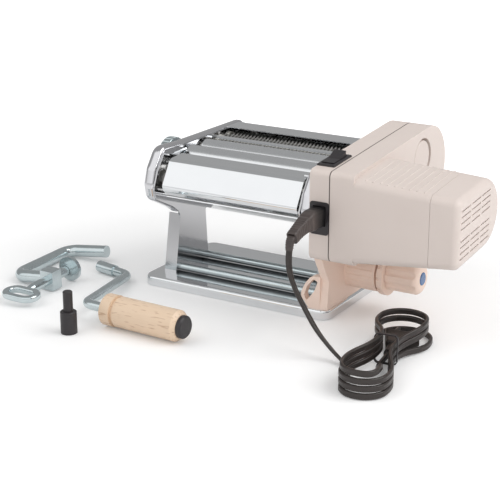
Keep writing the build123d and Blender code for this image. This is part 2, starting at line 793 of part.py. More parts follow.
bushes = []
for axis, radius, flange_radius in (
    (rear_axis, BUSH_RADIUS, BUSH_FLANGE_RADIUS),
    (wide_front, CUTTER_BUSH, CUTTER_FLANGE), (wide_rear, CUTTER_BUSH, CUTTER_FLANGE),
    (fine_front, CUTTER_BUSH, CUTTER_FLANGE), (fine_rear, CUTTER_BUSH, CUTTER_FLANGE),
):
    bush = flanged_bush(axis, radius, flange_radius)
    bushes += [bush, mirrored(bush)]
parts["shaft_bushes"] = Compound(bushes)

# The front roller's sleeves ride in two eccentric bushes, joined by a link rod
sleeve = ring(
    front_axis, JOURNAL_RADIUS + SLEEVE_WALL, JOURNAL_RADIUS + FIT, X_IN - BUSH_FLANGE, X_STUB
)
parts["roller_sleeves"] = Compound([sleeve, mirrored(sleeve)])
bore_axis = (
    dial_axis[0] - THROW * math.sin(half_turn), dial_axis[1] + THROW * math.cos(half_turn)
)
BORE_RADIUS = JOURNAL_RADIUS + SLEEVE_WALL + ECCENTRIC_PLAY
link_angle = math.radians(LINK_REST_ANGLE)
link_axis = (
    dial_axis[0] + LINK_RADIUS * math.sin(link_angle),
    dial_axis[1] - LINK_RADIUS * math.cos(link_angle),
)
X_ARM = X_IN - SEAM
arm_face = belt([
    (dial_axis[0], dial_axis[1], ECCENTRIC_FLANGE_RADIUS), (link_axis[0], link_axis[1], LINK_BOSS),
])
eccentric = slab(arm_face, X_ARM - ARM_SHEET, X_ARM)
eccentric += disc(dial_axis, ECCENTRIC_RADIUS, X_ARM, X_PLATE + LOOSE)
eccentric_right = eccentric - disc(bore_axis, BORE_RADIUS, X_IN - OVERRUN, X_PLATE + OVERRUN)
eccentric_left = mirrored(eccentric) + disc(
    dial_axis, ECCENTRIC_RADIUS, -X_PLATE - 3 * LOOSE - SLEEVE_WALL, -X_PLATE
)
eccentric_left -= disc(bore_axis, BORE_RADIUS, -X_PLATE - 3 * LOOSE, -X_IN + OVERRUN)
X_DIAL = X_COVER + SLEEVE_WALL
eccentric_left += disc(dial_axis, STEM_RADIUS, -X_DIAL, -X_PLATE - 3 * LOOSE - SLEEVE_WALL)
link_hole = disc(link_axis, LINK_ROD_RADIUS + FIT, -X_IN, X_IN)
parts["eccentric_bushes"] = Compound([eccentric_right - link_hole, eccentric_left - link_hole])
parts["link_rod"] = disc(link_axis, LINK_ROD_RADIUS, -X_ARM, X_ARM)
dial = disc(dial_axis, DIAL_RADIUS, -X_DIAL - DIAL_LENGTH, -X_DIAL)
dial = fillet(dial.edges().filter_by(GeomType.CIRCLE), DIAL_EDGE)
for index in range(DIAL_FLUTE_COUNT):
    angle = 2 * math.pi * index / DIAL_FLUTE_COUNT
    spot = (
        dial_axis[0] + DIAL_RADIUS * math.cos(angle), dial_axis[1] + DIAL_RADIUS * math.sin(angle)
    )
    dial -= disc(spot, DIAL_FLUTE, -X_DIAL - DIAL_LENGTH - OVERRUN, -X_DIAL + OVERRUN)
parts["thickness_dial"] = dial


def cutter(axis, discs, shifted, driven, heading):
    """Disc shaft with its gear at the left end; discs of a pair interleave."""
    pitch = CUTTER_LENGTH / discs
    start = -CUTTER_LENGTH / 2
    profile = [(start, 0)]
    for index in range(discs):
        low = start + index * pitch + DISC_PLAY / 2
        high = low + pitch / 2 - DISC_PLAY
        if shifted:
            low += pitch / 2
            high += pitch / 2
        profile += [(low, CUTTER_CORE), (low, CUTTER_RADIUS)]
        profile += [(high, CUTTER_RADIUS), (high, CUTTER_CORE)]
    profile.insert(1, (start, CUTTER_CORE))
    if not shifted:
        profile.append((-start, CUTTER_CORE))
    profile.append((profile[-1][0], 0))
    body = Pos(0, axis[0], axis[1]) * turned(profile)
    body += disc(axis, JOURNAL_RADIUS, -X_GEAR_END, X_STUB)
    body += gear(
        axis, CUTTER_TEETH, CUTTER_TIP, CUTTER_ROOT, 0, heading, -X_GEAR_END, -X_GEAR
    )
    if driven:
        body += slab(Pos(axis[0], axis[1]) * stub_face, -X_COVER, -X_GEAR)
    return body


cutter_step = math.pi / CUTTER_TEETH
parts["wide_cutter_front"] = cutter(wide_front, WIDE_DISC_COUNT, False, True, 0)
parts["wide_cutter_rear"] = cutter(wide_rear, WIDE_DISC_COUNT, True, False, math.pi + cutter_step)
parts["fine_cutter_front"] = cutter(fine_front, FINE_DISC_COUNT, False, False, 0)
parts["fine_cutter_rear"] = cutter(fine_rear, FINE_DISC_COUNT, True, True, math.pi + cutter_step)


def comb(axis, discs, shifted):
    """Scraper comb under a cutter, one tooth reaching into each groove."""
    pitch = CUTTER_LENGTH / discs
    start = -CUTTER_LENGTH / 2
    bar_top = axis[1] - COMB_DROP
    tip = axis[1] - CUTTER_CORE - COMB_TIP_GAP
    half = pitch / 2 * comb_tooth_share / 2
    points = [(-X_IN, bar_top - COMB_BAR_HEIGHT), (-X_IN, bar_top)]
    for index in range(discs):
        middle = start + index * pitch + (pitch / 4 if shifted else 3 * pitch / 4)
        points += [(middle - half, bar_top), (middle - half, tip)]
        points += [(middle + half, tip), (middle + half, bar_top)]
    points += [(X_IN, bar_top), (X_IN, bar_top - COMB_BAR_HEIGHT)]
    face = Plane.XZ.offset(-axis[0] - COMB_SHEET / 2) * make_face(Polyline(*points, close=True))
    body = extrude(face, amount=COMB_SHEET)
    body += box(
        -X_IN, X_IN, axis[0] - COMB_BAR_DEPTH / 2, axis[0] + COMB_BAR_DEPTH / 2,
        bar_top - COMB_BAR_HEIGHT, bar_top - COMB_BAR_HEIGHT / 2,
    )
    return body


parts["wide_combs"] = Compound([
    comb(wide_front, WIDE_DISC_COUNT, False), comb(wide_rear, WIDE_DISC_COUNT, True)
])
parts["fine_combs"] = Compound([
    comb(fine_front, FINE_DISC_COUNT, False), comb(fine_rear, FINE_DISC_COUNT, True)
])


# Gear case in two halves; both share one outline that rises to the back
case_front_y = rear_axis[0] - CASE_FRONT
case_top_z = rear_axis[1] + CASE_TOP
case_bottom_z = rear_axis[1] - CASE_BOTTOM
lobe = (rear_axis[0] + CASE_LOBE_BACK, rear_axis[1] - CASE_LOBE_DROP)


def case_circles(inset):
    return [
        (
            case_front_y + CASE_BOTTOM_RADIUS, case_bottom_z + CASE_BOTTOM_RADIUS,
            CASE_BOTTOM_RADIUS - inset,
        ),
        (lobe[0], lobe[1], CASE_LOBE_RADIUS - inset),
        (
            case_front_y + CASE_TOP_RADIUS, case_top_z - CASE_TOP_RADIUS,
            CASE_TOP_RADIUS - inset,
        ),
    ]


def edge_height(first, second, y):
    """Height at y of the belt line that runs from one circle to the next."""
    span = math.hypot(second[0] - first[0], second[1] - first[1])
    heading = math.atan2(second[1] - first[1], second[0] - first[0])
    angle = heading - math.pi / 2 + math.asin((first[2] - second[2]) / span)
    y0 = first[0] + first[2] * math.cos(angle)
    z0 = first[1] + first[2] * math.sin(angle)
    y1 = second[0] + second[2] * math.cos(angle)
    z1 = second[1] + second[2] * math.sin(angle)
    return z0 + (z1 - z0) * (y - y0) / (y1 - y0)


def case_bottom(y):
    circles = case_circles(0)
    return edge_height(circles[0], circles[1], y)


def case_top(y):
    circles = case_circles(0)
    return edge_height(circles[1], circles[2], y)


CASE_SLOPE = math.degrees(math.atan2(
    case_top(lobe[0]) - case_top(case_front_y), lobe[0] - case_front_y
))
case_outer_face = belt(case_circles(0))
case_inner_face = belt(case_circles(CASE_WALL))
BOSS_RADIUS = GEAR_SHAFT + CASE_WALL
HOLE_DEPTH = CASE_WALL / 2
inner_case = slab(case_outer_face, X_CASE, X_SPLIT)
inner_case -= slab(case_inner_face, X_CASE + CASE_WALL, X_SPLIT + OVERRUN)
outer_case = slab(case_outer_face, X_OUTER, X_WALL)
outer_case -= slab(case_inner_face, X_OUTER - OVERRUN, X_WALL - CASE_WALL)
inner_case -= disc(rear_axis, OUTPUT_SHAFT + FIT, X_CASE - OVERRUN, X_SPLIT)
X_FACE_IN = X_CASE + CASE_WALL
X_FACE_OUT = X_WALL - CASE_WALL
for axis in (first_axis, second_axis):
    inner_case += ring(
        axis, BOSS_RADIUS, GEAR_SHAFT + FIT, X_FACE_IN, X_FACE_IN + HOLE_DEPTH
    )
    inner_case -= disc(axis, GEAR_SHAFT + FIT, X_FACE_IN - HOLE_DEPTH, X_FACE_IN + OVERRUN)
    outer_case += ring(
        axis, BOSS_RADIUS, GEAR_SHAFT + FIT, X_FACE_OUT - HOLE_DEPTH, X_FACE_OUT
    )
    outer_case -= disc(axis, GEAR_SHAFT + FIT, X_FACE_OUT - OVERRUN, X_FACE_OUT + HOLE_DEPTH)
outer_case += ring(
    rear_axis, OUTPUT_TAIL + CASE_WALL, OUTPUT_TAIL + FIT, X_FACE_OUT - HOLE_DEPTH, X_FACE_OUT
)
outer_case -= disc(rear_axis, OUTPUT_TAIL + FIT, X_FACE_OUT - OVERRUN, X_FACE_OUT + HOLE_DEPTH)
outer_case += ring(
    motor_axis, BEARING_RADIUS + CASE_WALL, BEARING_RADIUS + FIT, X_WALL - BEARING_WIDTH, X_WALL
)
outer_case -= disc(motor_axis, BEARING_RADIUS + FIT, X_WALL - BEARING_WIDTH, X_WALL + OVERRUN)

# Round release button in its recess on the outer half
button_axis = (rear_axis[0] + BUTTON_BACK, rear_axis[1] + BUTTON_UP)
RECESS_RADIUS = BUTTON_RADIUS + BUTTON_PLAY
outer_case += disc(
    button_axis, RECESS_RADIUS + CASE_WALL, X_WALL - BUTTON_DEPTH - CASE_WALL, X_WALL - CASE_WALL
)
outer_case -= disc(button_axis, RECESS_RADIUS, X_WALL - BUTTON_DEPTH, X_WALL + OVERRUN)
outer_case -= disc(
    button_axis, BUTTON_STEM + FIT, X_WALL - BUTTON_DEPTH - 2 * OVERRUN, X_WALL
)
X_BUTTON = X_WALL - BUTTON_SUNK
button = disc(button_axis, BUTTON_RADIUS, X_BUTTON - BUTTON_THICK, X_BUTTON)
button = fillet(button.faces().sort_by(Axis.X)[-1].edges(), BUTTON_DISH)
button += disc(
    button_axis, BUTTON_STEM, X_BUTTON - BUTTON_THICK - BUTTON_STEM_LENGTH,
    X_BUTTON - BUTTON_THICK,
)
parts["release_button"] = button

# Rocker switch: a bezel let into the sloped top, and the rocker in it
switch_x = X_CASE + SWITCH_X
switch_y = case_front_y + SWITCH_BACK
top_plane = Plane(
    origin=(switch_x, switch_y, case_top(switch_y)), x_dir=(1, 0, 0),
    z_dir=(0, -math.sin(math.radians(CASE_SLOPE)), math.cos(math.radians(CASE_SLOPE))),
)


def top_box(width, length, low, high):
    """Box on the sloped top, its heights measured from the surface."""
    return top_plane * Pos(0, 0, (low + high) / 2) * Box(width, length, high - low)


sleeve_width = BEZEL_WIDTH - BEZEL_WALL
sleeve_length = BEZEL_LENGTH - 2 * BEZEL_WALL
bezel = Pos(0, 0, BEZEL_PROUD / 2) * Box(BEZEL_WIDTH, BEZEL_LENGTH, BEZEL_PROUD)
bezel = top_plane * fillet(bezel.faces().sort_by(Axis.Z)[-1].edges(), BEZEL_PROUD / 2)
bezel += top_box(sleeve_width, sleeve_length, -BEZEL_SLEEVE, BEZEL_PROUD / 2)
bezel -= top_box(
    ROCKER_WIDTH + ROCKER_SLOT_PLAY, ROCKER_LENGTH + 2 * ROCKER_SLOT_PLAY,
    -BEZEL_SLEEVE - OVERRUN, BEZEL_PROUD + OVERRUN,
)
parts["switch_bezel"] = bezel
inner_case -= top_box(
    sleeve_width + 2 * FIT, sleeve_length + 2 * FIT, -BEZEL_SLEEVE, OVERRUN
)
half_rocker = ROCKER_LENGTH / 2
foot_rocker = half_rocker * rocker_foot_share
rocker_points = [
    (-half_rocker, ROCKER_END_RISE), (0, ROCKER_MID_RISE), (half_rocker, ROCKER_END_RISE),
    (foot_rocker, -ROCKER_DEPTH), (-foot_rocker, -ROCKER_DEPTH),
]
rocker_face = make_face(Polyline(*rocker_points, close=True))
rocker = slab(rocker_face, -ROCKER_WIDTH / 2, ROCKER_WIDTH / 2)
pin_half = ROCKER_WIDTH / 2 + ROCKER_PIN_PROUD
rocker += disc((0, 0), ROCKER_PIN, -pin_half, pin_half)
pivot = top_plane.from_local_coords((0, 0, ROCKER_PIVOT))
rocker_tilt = CASE_SLOPE + ROCKER_TURN / 2
parts["switch_rocker"] = Pos(pivot.X, pivot.Y, pivot.Z) * Rot(rocker_tilt, 0, 0) * rocker

# Mains inlet let into the front of the inner half, and the connector plugged in
inlet_x = (X_CASE + INLET_SIDE + X_SPLIT) / 2
inlet_half = (X_SPLIT - X_CASE - INLET_SIDE) / 2
inlet_z = rear_axis[1] - INLET_DROP
plug_z = rear_axis[1] - CONNECTOR_DROP
nose_half = CONNECTOR_WIDTH / 2 - NOSE_INSET
nose_tall = CONNECTOR_HEIGHT / 2 - NOSE_INSET
well_half = nose_half + LOOSE
well_tall = nose_tall + LOOSE
inlet = box(
    inlet_x - inlet_half, inlet_x + inlet_half, case_front_y - INLET_PROUD, case_front_y,
    inlet_z - INLET_HEIGHT / 2, inlet_z + INLET_HEIGHT / 2,
)
inlet = fillet(inlet.edges().filter_by(Axis.Y), INLET_CORNER)
inlet += box(
    inlet_x - well_half - INLET_WALL, inlet_x + well_half + INLET_WALL,
    case_front_y, case_front_y + INLET_BODY,
    plug_z - well_tall - INLET_WALL, plug_z + well_tall + INLET_WALL,
)
inlet -= box(
    inlet_x - well_half, inlet_x + well_half, case_front_y - INLET_PROUD - OVERRUN,
    case_front_y + INLET_BODY - INLET_WALL, plug_z - well_tall, plug_z + well_tall,
)
parts["mains_inlet"] = inlet
inner_case -= box(
    inlet_x - well_half - INLET_WALL - FIT, inlet_x + well_half + INLET_WALL + FIT,
    case_front_y - OVERRUN, case_front_y + OVERRUN,
    plug_z - well_tall - INLET_WALL - FIT, plug_z + well_tall + INLET_WALL + FIT,
)

# Free stretch of the cord: it drops from the connector and lies on the table
hank_frame = Plane(
    origin=(HANK_CENTRE[0], HANK_CENTRE[1], 0), x_dir=(HANK_AXIS[0], HANK_AXIS[1], 0),
    z_dir=(0, 0, 1),
)


def in_hank(u, v, z):
    spot = hank_frame.from_local_coords((u, v, z))
    return (spot.X, spot.Y, spot.Z)


CORD_ROUTE = [
    (108.15, -142.5, 99.5), (108.7, -147.3, 84.0), (115.5, -148.6, 64.5), (126.5, -147.2, 44.5),
    (139.5, -148.3, 26.0), (153.5, -146.6, 10.5), (168.5, -151.5, 3.0), (178.6, -160.2, 3.0),
]
join_v = LOWER_LOBE_AT + HANK_LEAD
cord_points = CORD_ROUTE + [
    in_hank(-LOWER_LOBE, join_v + CORD_LAST_RUN, CORD_FLOOR), in_hank(-LOWER_LOBE, join_v, CORD_FLOOR),
]


def arc_radii(points):
    """Largest tangent arcs: 0.45 of the shorter run over tan of half the turn."""
    radii = []
    for a, b, c in zip(points, points[1:], points[2:]):
        before = Vector(*b) - Vector(*a)
        after = Vector(*c) - Vector(*b)
        turn = before.get_angle(after)
        shorter = min(before.length, after.length)
        radii.append(ARC_SHARE * shorter / math.tan(math.radians(turn / 2)))
    return radii


def tube(points, radii, radius):
    """Round tube along straight runs joined by tangent arcs."""
    path = FilletPolyline(*points, radius=radii)
    start = Plane(origin=path @ 0, z_dir=path % 0)
    solid = sweep(start * Circle(radius), path=path)
    ratio = solid.volume / (math.pi * radius * radius * path.length)
    return solid, path.length, ratio


cord_radii = arc_radii(cord_points)
cord_tube, cord_length, cord_ratio = tube(cord_points, cord_radii, CORD_DIAMETER / 2)
parts["cord"] = cord_tube
runs = [(Vector(*b) - Vector(*a)).length for a, b in zip(cord_points, cord_points[1:])]
print("cord runs", [round(r, 1) for r in runs])
print("cord radii", [round(r, 1) for r in cord_radii])
print("cord length", round(cord_length, 1), "volume over section times length", round(cord_ratio, 4))

# Connector: a body that bends down, with a short boot round the cord
exit_way = Vector(*CORD_ROUTE[1]) - Vector(*CORD_ROUTE[0])
face_y = case_front_y - INLET_PROUD
side_points = [
    (face_y - a * CONNECTOR_REACH, plug_z + CONNECTOR_HEIGHT * (0.5 + b))
    for a, b in connector_shares
]
side_radii = [share * CONNECTOR_ARC_RADIUS for share in connector_radius_shares]
connector = slab(
    outline(side_points, side_radii), inlet_x - CONNECTOR_WIDTH / 2, inlet_x + CONNECTOR_WIDTH / 2
)
plan_points = [
    (inlet_x + side * a * CONNECTOR_WIDTH / 2, face_y - b * CONNECTOR_REACH)
    for side, a, b in (
        (1, 1, 0), (1, 1, connector_straight_share), (1, connector_tail_share, 1),
        (-1, connector_tail_share, 1), (-1, 1, connector_straight_share), (-1, 1, 0),
    )
]
plan = extrude(
    Pos(0, 0, plug_z - CONNECTOR_REACH) * make_face(Polyline(*plan_points, close=True)),
    amount=2 * CONNECTOR_REACH,
)
connector = connector & plan
connector += box(
    inlet_x - nose_half, inlet_x + nose_half, face_y, face_y + CONNECTOR_NOSE,
    plug_z - nose_tall, plug_z + nose_tall,
)
boot_plane = Plane(origin=CORD_ROUTE[0], z_dir=-exit_way)
boot = boot_plane * (Pos(0, 0, BOOT_LENGTH / 2) * Cone(BOOT_RADIUS, BOOT_BASE_RADIUS, BOOT_LENGTH))
parts["connector"] = connector + boot

# Tied hank: one unbroken tube that winds through lower and upper loops, level
# by level, narrow at the waist, and ends at the plug


def biarc(p0, t0, p1, t1):
    """Two tangent arcs from p0 along t0 to p1 along t1, or one straight line."""
    p0, t0, p1, t1 = (Vector(*item) for item in (p0, t0, p1, t1))
    chord = p1 - p0
    both = t0 + t1
    square = chord.dot(chord)
    if chord.normalized().dot(t0) > STRAIGHT_SHARE and t0.dot(t1) > STRAIGHT_SHARE:
        return [Line(p0, p1)]
    a = 2 * (1 - t0.dot(t1))
    b = 2 * chord.dot(both)
    if abs(a) < 1 - STRAIGHT_SHARE:
        reach = square / b
    else:
        reach = (-b + math.sqrt(b * b + 4 * a * square)) / (2 * a)
    q0 = p0 + t0 * reach
    q1 = p1 - t1 * reach
    middle = (q0 + q1) * 0.5
    return [
        TangentArc(p0, middle, tangent=t0), TangentArc(middle, p1, tangent=(q1 - q0).normalized()),
    ]


def lobe_stops(radius, at, z, first_u, heading):
    """Widest point, far point and other widest point of one loop."""
    side = math.copysign(1, first_u)
    return [
        ((side * radius, at, z), (0, heading, 0)),
        ((0, at + heading * radius, z), (-side, 0, 0)),
        ((-side * radius, at, z), (0, -heading, 0)),
    ]


stops = [((-LOWER_LOBE, join_v, CORD_FLOOR), (0, -1, 0))]
levels = [CORD_FLOOR + k * LEVEL_STEP for k in range(4)]
uppers = [CORD_FLOOR, UPPER_FIRST, UPPER_FIRST + UPPER_STEP]
for level in range(3):
    low = levels[level]
    stops += lobe_stops(LOWER_LOBE, LOWER_LOBE_AT, low, -1, -1)
    stops.append(((HANK_COLUMN, 0, low + WAIST_LIFT), (0, 1, 0)))
    top_radius = FIRST_UPPER_LOBE if level == 0 else UPPER_LOBE
    top_at = FIRST_UPPER_AT if level == 0 else UPPER_LOBE_AT
    stops += lobe_stops(top_radius, top_at, uppers[level], 1, 1)
    stops.append(((-HANK_COLUMN, 0, levels[level + 1] + WAIST_LIFT), (0, -1, 0)))
stops += lobe_stops(TOP_LOWER_LOBE, LOWER_LOBE_AT, levels[3], -1, -1)[:2]
stops.append(((LAST_SIDE, LAST_SIDE_AT, levels[3]), (0, 1, 0)))
stops.append(((0, FINAL_TURN_AT, PLUG_AXIS_HEIGHT), (0, 1, 0)))
stops.append(((0, PLUG_RELIEF_START, PLUG_AXIS_HEIGHT), (0, 1, 0)))


def turn_in_hank(way):
    return (way[0] * HANK_AXIS[0] - way[1] * HANK_AXIS[1],
            way[0] * HANK_AXIS[1] + way[1] * HANK_AXIS[0], way[2])


curves = []
for (spot0, way0), (spot1, way1) in zip(stops, stops[1:]):
    curves += biarc(
        in_hank(*spot0), unit(turn_in_hank(way0)), in_hank(*spot1), unit(turn_in_hank(way1))
    )
hank_wire = Wire([curve.edge() for curve in curves])
hank_start = Plane(origin=curves[0] @ 0, z_dir=curves[0] % 0)
hank_tube = sweep(hank_start * Circle(CORD_DIAMETER / 2), path=hank_wire)
hank_length = sum(curve.length for curve in curves)
parts["cord_hank"] = hank_tube
samples = []
travelled = 0.0
for curve in curves:
    steps = max(2, math.ceil(curve.length / (CORD_DIAMETER / 4)))
    for k in range(steps):
        spot = curve @ (k / steps)
        samples.append((travelled + curve.length * k / steps, spot.X, spot.Y, spot.Z))
    travelled += curve.length
least = CORD_DIAMETER * len(samples)
for i, (s0, x0, y0, z0) in enumerate(samples):
    for s1, x1, y1, z1 in samples[i + 1:]:
        if s1 - s0 > CORD_DIAMETER * 3:
            least = min(least, math.dist((x0, y0, z0), (x1, y1, z1)))
print("hank length", round(hank_length, 1), "least gap to itself", round(least - CORD_DIAMETER, 2))
print("hank volume over section times length",
      round(hank_tube.volume / (math.pi * CORD_DIAMETER ** 2 / 4 * hank_length), 4))

# Tie round the waist, and the flat two-pin plug inside the upper loops
tie_half = HANK_COLUMN + CORD_DIAMETER / 2 + TIE_PLAY
tie_low = CORD_FLOOR + WAIST_LIFT - CORD_DIAMETER / 2 - TIE_PLAY
tie_high = levels[3] + WAIST_LIFT + CORD_DIAMETER / 2 + TIE_PLAY
tie_round = CORD_DIAMETER / 2 + TIE_PLAY
waist_plane = Plane(
    origin=in_hank(0, TIE_WIDTH / 2, (tie_low + tie_high) / 2),
    x_dir=(HANK_AXIS[0], HANK_AXIS[1], 0), z_dir=(HANK_AXIS[1], -HANK_AXIS[0], 0),
)
tie_face = RectangleRounded(
    2 * (tie_half + TIE_SHEET), tie_high - tie_low + 2 * TIE_SHEET, tie_round + TIE_SHEET
) - RectangleRounded(2 * tie_half, tie_high - tie_low, tie_round)
parts["cord_tie"] = extrude(waist_plane * tie_face, amount=TIE_WIDTH)
plug_outline = [
    (-PLUG_REAR_WIDTH / 2, PLUG_REAR), (PLUG_REAR_WIDTH / 2, PLUG_REAR),
    (PLUG_FACE_WIDTH / 2, PLUG_FACE), (-PLUG_FACE_WIDTH / 2, PLUG_FACE),
]
plug = extrude(outline(plug_outline, PLUG_ROUND), amount=PLUG_THICK)
plug = fillet(plug.edges().filter_by(Plane.XY), PLUG_ROUND)
axis_plane = Plane(origin=(0, PLUG_RELIEF_START, PLUG_AXIS_HEIGHT), z_dir=(0, 1, 0))
relief_length = PLUG_REAR - PLUG_RELIEF_START + PLUG_ROUND
plug += axis_plane * (
    Pos(0, 0, relief_length / 2) * Cone(PLUG_RELIEF_RADIUS, PLUG_RELIEF_BASE, relief_length)
)
pins = []
for side in (-1, 1):
    pin_plane = Plane(origin=(side * PIN_SPACING / 2, PLUG_FACE, PLUG_AXIS_HEIGHT), z_dir=(0, 1, 0))
    pin = pin_plane * (Pos(0, 0, PIN_LENGTH / 2) * Cylinder(PIN_RADIUS, PIN_LENGTH))
    pin = fillet(pin.faces().sort_by(Axis.Y)[-1].edges(), PIN_RADIUS / 2)
    pins.append(hank_frame * pin)
parts["mains_plug"] = Compound([hank_frame * plug] + pins)

# Support foot under the gear case, standing on the tray
foot_points = [
    (-FOOT_FRONT, TRAY_HEIGHT), (FOOT_BACK, TRAY_HEIGHT),
    (FOOT_BACK_TOP, case_bottom(FOOT_BACK_TOP)), (-FOOT_TOP_FRONT, case_bottom(-FOOT_TOP_FRONT)),
    (-FOOT_NECK, TRAY_HEIGHT + FOOT_NECK_HEIGHT),
]
foot = slab(outline(foot_points, [0, 0, 0, 0, FOOT_CORNER]), X_CASE, X_CASE + FOOT_THICKNESS)
strut_outer = [
    (X_CASE - a * STRUT_REACH, TRAY_HEIGHT + b * STRUT_TOP) for a, b in strut_outer_shares
]
strut_window = [
    (X_CASE - a * STRUT_REACH, TRAY_HEIGHT + b * STRUT_TOP) for a, b in strut_window_shares
]
strut_radii = [share * FOOT_CORNER for share in strut_radius_shares]
strut_plane = Plane.XZ.offset(FOOT_NECK + STRUT_DEPTH / 2 - STRUT_SET)
strut = extrude(strut_plane * outline(strut_outer, strut_radii), amount=-STRUT_DEPTH)
strut -= extrude(strut_plane * outline(strut_window, STRUT_ROUND), amount=-STRUT_DEPTH)
foot += strut
knob_axis = (KNOB_Y, TRAY_HEIGHT + KNOB_HEIGHT)
X_FOOT = X_CASE + FOOT_THICKNESS
X_COLLAR = X_FOOT + COLLAR_LENGTH
X_RING = X_COLLAR + COLLAR_NECK
X_KNOB = X_RING + RING_LENGTH + SEAM
X_KNOB_END = X_KNOB + KNOB_LENGTH
foot -= disc(knob_axis, KNOB_SPINDLE + FIT, X_CASE + KNOB_SPINDLE_GAP, X_FOOT + OVERRUN)
parts["support_foot"] = foot


def around(axis, radius, count, phase=0.0):
    return [
        (
            axis[0] + radius * math.cos(phase + 2 * math.pi * k / count),
            axis[1] + radius * math.sin(phase + 2 * math.pi * k / count),
        )
        for k in range(count)
    ]


# Ribbed collar, notched ring, fluted locking knob and its cap
collar = ring(knob_axis, COLLAR_RADIUS, COLLAR_RADIUS - COLLAR_WALL, X_FOOT, X_COLLAR)
collar += ring(
    knob_axis, COLLAR_RADIUS - COLLAR_WALL, KNOB_SPINDLE + FIT, X_COLLAR - COLLAR_WALL, X_COLLAR
)
collar += ring(knob_axis, COLLAR_NECK_RADIUS, KNOB_SPINDLE + FIT, X_COLLAR, X_RING)
for spot in around(knob_axis, COLLAR_RADIUS + COLLAR_RIB / 2, COLLAR_RIB_COUNT):
    collar -= disc(spot, COLLAR_RIB, X_FOOT + COLLAR_WALL, X_COLLAR - COLLAR_WALL)
parts["knob_collar"] = collar
lock_ring = ring(knob_axis, RING_RADIUS, KNOB_SPINDLE + FIT, X_RING, X_RING + RING_LENGTH)
for spot in around(knob_axis, RING_RADIUS, RING_NOTCH_COUNT):
    lock_ring -= disc(spot, RING_NOTCH / 2, X_RING - OVERRUN, X_RING + RING_LENGTH / 2)
parts["lock_ring"] = lock_ring
knob = disc(knob_axis, KNOB_RADIUS, X_KNOB, X_KNOB_END)
knob = fillet(knob.faces().sort_by(Axis.X)[-1].edges(), KNOB_ROUND)
for spot in around(knob_axis, KNOB_RADIUS + KNOB_FLUTE_OUT, KNOB_FLUTE_COUNT, math.pi / KNOB_FLUTE_COUNT):
    knob -= disc(spot, KNOB_FLUTE, X_KNOB - OVERRUN, X_KNOB_END + OVERRUN)
knob -= disc(knob_axis, KNOB_SOCKET, X_KNOB_END - KNOB_SOCKET_DEPTH, X_KNOB_END + OVERRUN)
knob += disc(knob_axis, KNOB_SPINDLE, X_CASE + KNOB_SPINDLE_GAP + SEAM, X_KNOB)
parts["support_knob"] = knob
knob_cap = disc(
    knob_axis, KNOB_SOCKET - FIT, X_KNOB_END - KNOB_SOCKET_DEPTH, X_KNOB_END + CAP_DOME
)
parts["knob_cap"] = fillet(knob_cap.faces().sort_by(Axis.X)[-1].edges(), CAP_DOME)

# Motor housing and slotted end cap: the section narrows away from the case
barrel_y = rear_axis[0] - BARREL_BACK


def barrel_circles(x, inset):
    along = (x - X_WALL) / (X_END - X_WALL)
    top = rear_axis[1] + BARREL_TOP - BARREL_TOP_FALL * along
    bottom = rear_axis[1] - BARREL_BOTTOM + BARREL_BOTTOM_RISE * along
    corner = BARREL_CORNER
    return [
        (case_front_y + corner, bottom + corner, corner - inset),
        (barrel_y, (top + bottom) / 2 + BARREL_RISE, (top - bottom) / 2 - inset),
        (case_front_y + corner, top - corner, corner - inset),
    ]


def barrel(x0, x1, inset):
    ends = [
        Plane.YZ.offset(x0) * belt(barrel_circles(x0, inset)),
        Plane.YZ.offset(x1) * belt(barrel_circles(x1, inset)),
    ]
    return loft(ends, ruled=True)


parts["motor_housing"] = barrel(X_WALL, X_BARREL, 0) - barrel(X_WALL, X_BARREL, CASE_WALL)
cap = barrel(X_CAP, X_END, 0)
cap = fillet(cap.faces().sort_by(Axis.X)[-1].edges(), CAP_EDGE)
cap -= barrel(X_CAP, X_END - CASE_WALL, CASE_WALL)
slot_y = case_front_y + SLOT_FRONT
slope = math.tan(math.radians(CASE_SLOPE))
for column in range(SLOT_COLUMN_COUNT):
    y = slot_y + column * SLOT_COLUMN_PITCH
    for group in range(2):
        for row in range(SLOT_ROW_COUNT):
            z = rear_axis[1] + SLOT_UPPER - group * SLOT_GROUP_DROP - row * SLOT_PITCH
            z += slope * (y - slot_y)
            slot = Box(2 * CASE_WALL, SLOT_LENGTH, SLOT_HEIGHT)
            cap -= Pos(X_END - CASE_WALL / 2, y, z) * Rot(CASE_SLOPE, 0, 0) * slot
parts["end_cap"] = cap

# Reduction gears, from the motor to the rear roller
X_OUT = X_FACE_IN + OUTPUT_SIDE
X_OUT_END = X_OUT + OUTPUT_WIDTH
X_SECOND = X_OUT_END + OUTPUT_SIDE
X_SECOND_END = X_SECOND + WHEEL_WIDTH
X_FIRST = X_SECOND_END + WHEEL_WIDTH
X_FIRST_END = X_FIRST + WHEEL_WIDTH
SHAFT_END_IN = X_FACE_IN - HOLE_DEPTH + SEAM
SHAFT_END_OUT = X_FACE_OUT + HOLE_DEPTH - SEAM


def wheel(at, teeth, module, heading, x0, x1):
    tip = module * (teeth / 2 + tip_share)
    root = module * (teeth / 2 - root_share)
    return gear(at, teeth, tip, root, 0, heading, x0, x1)


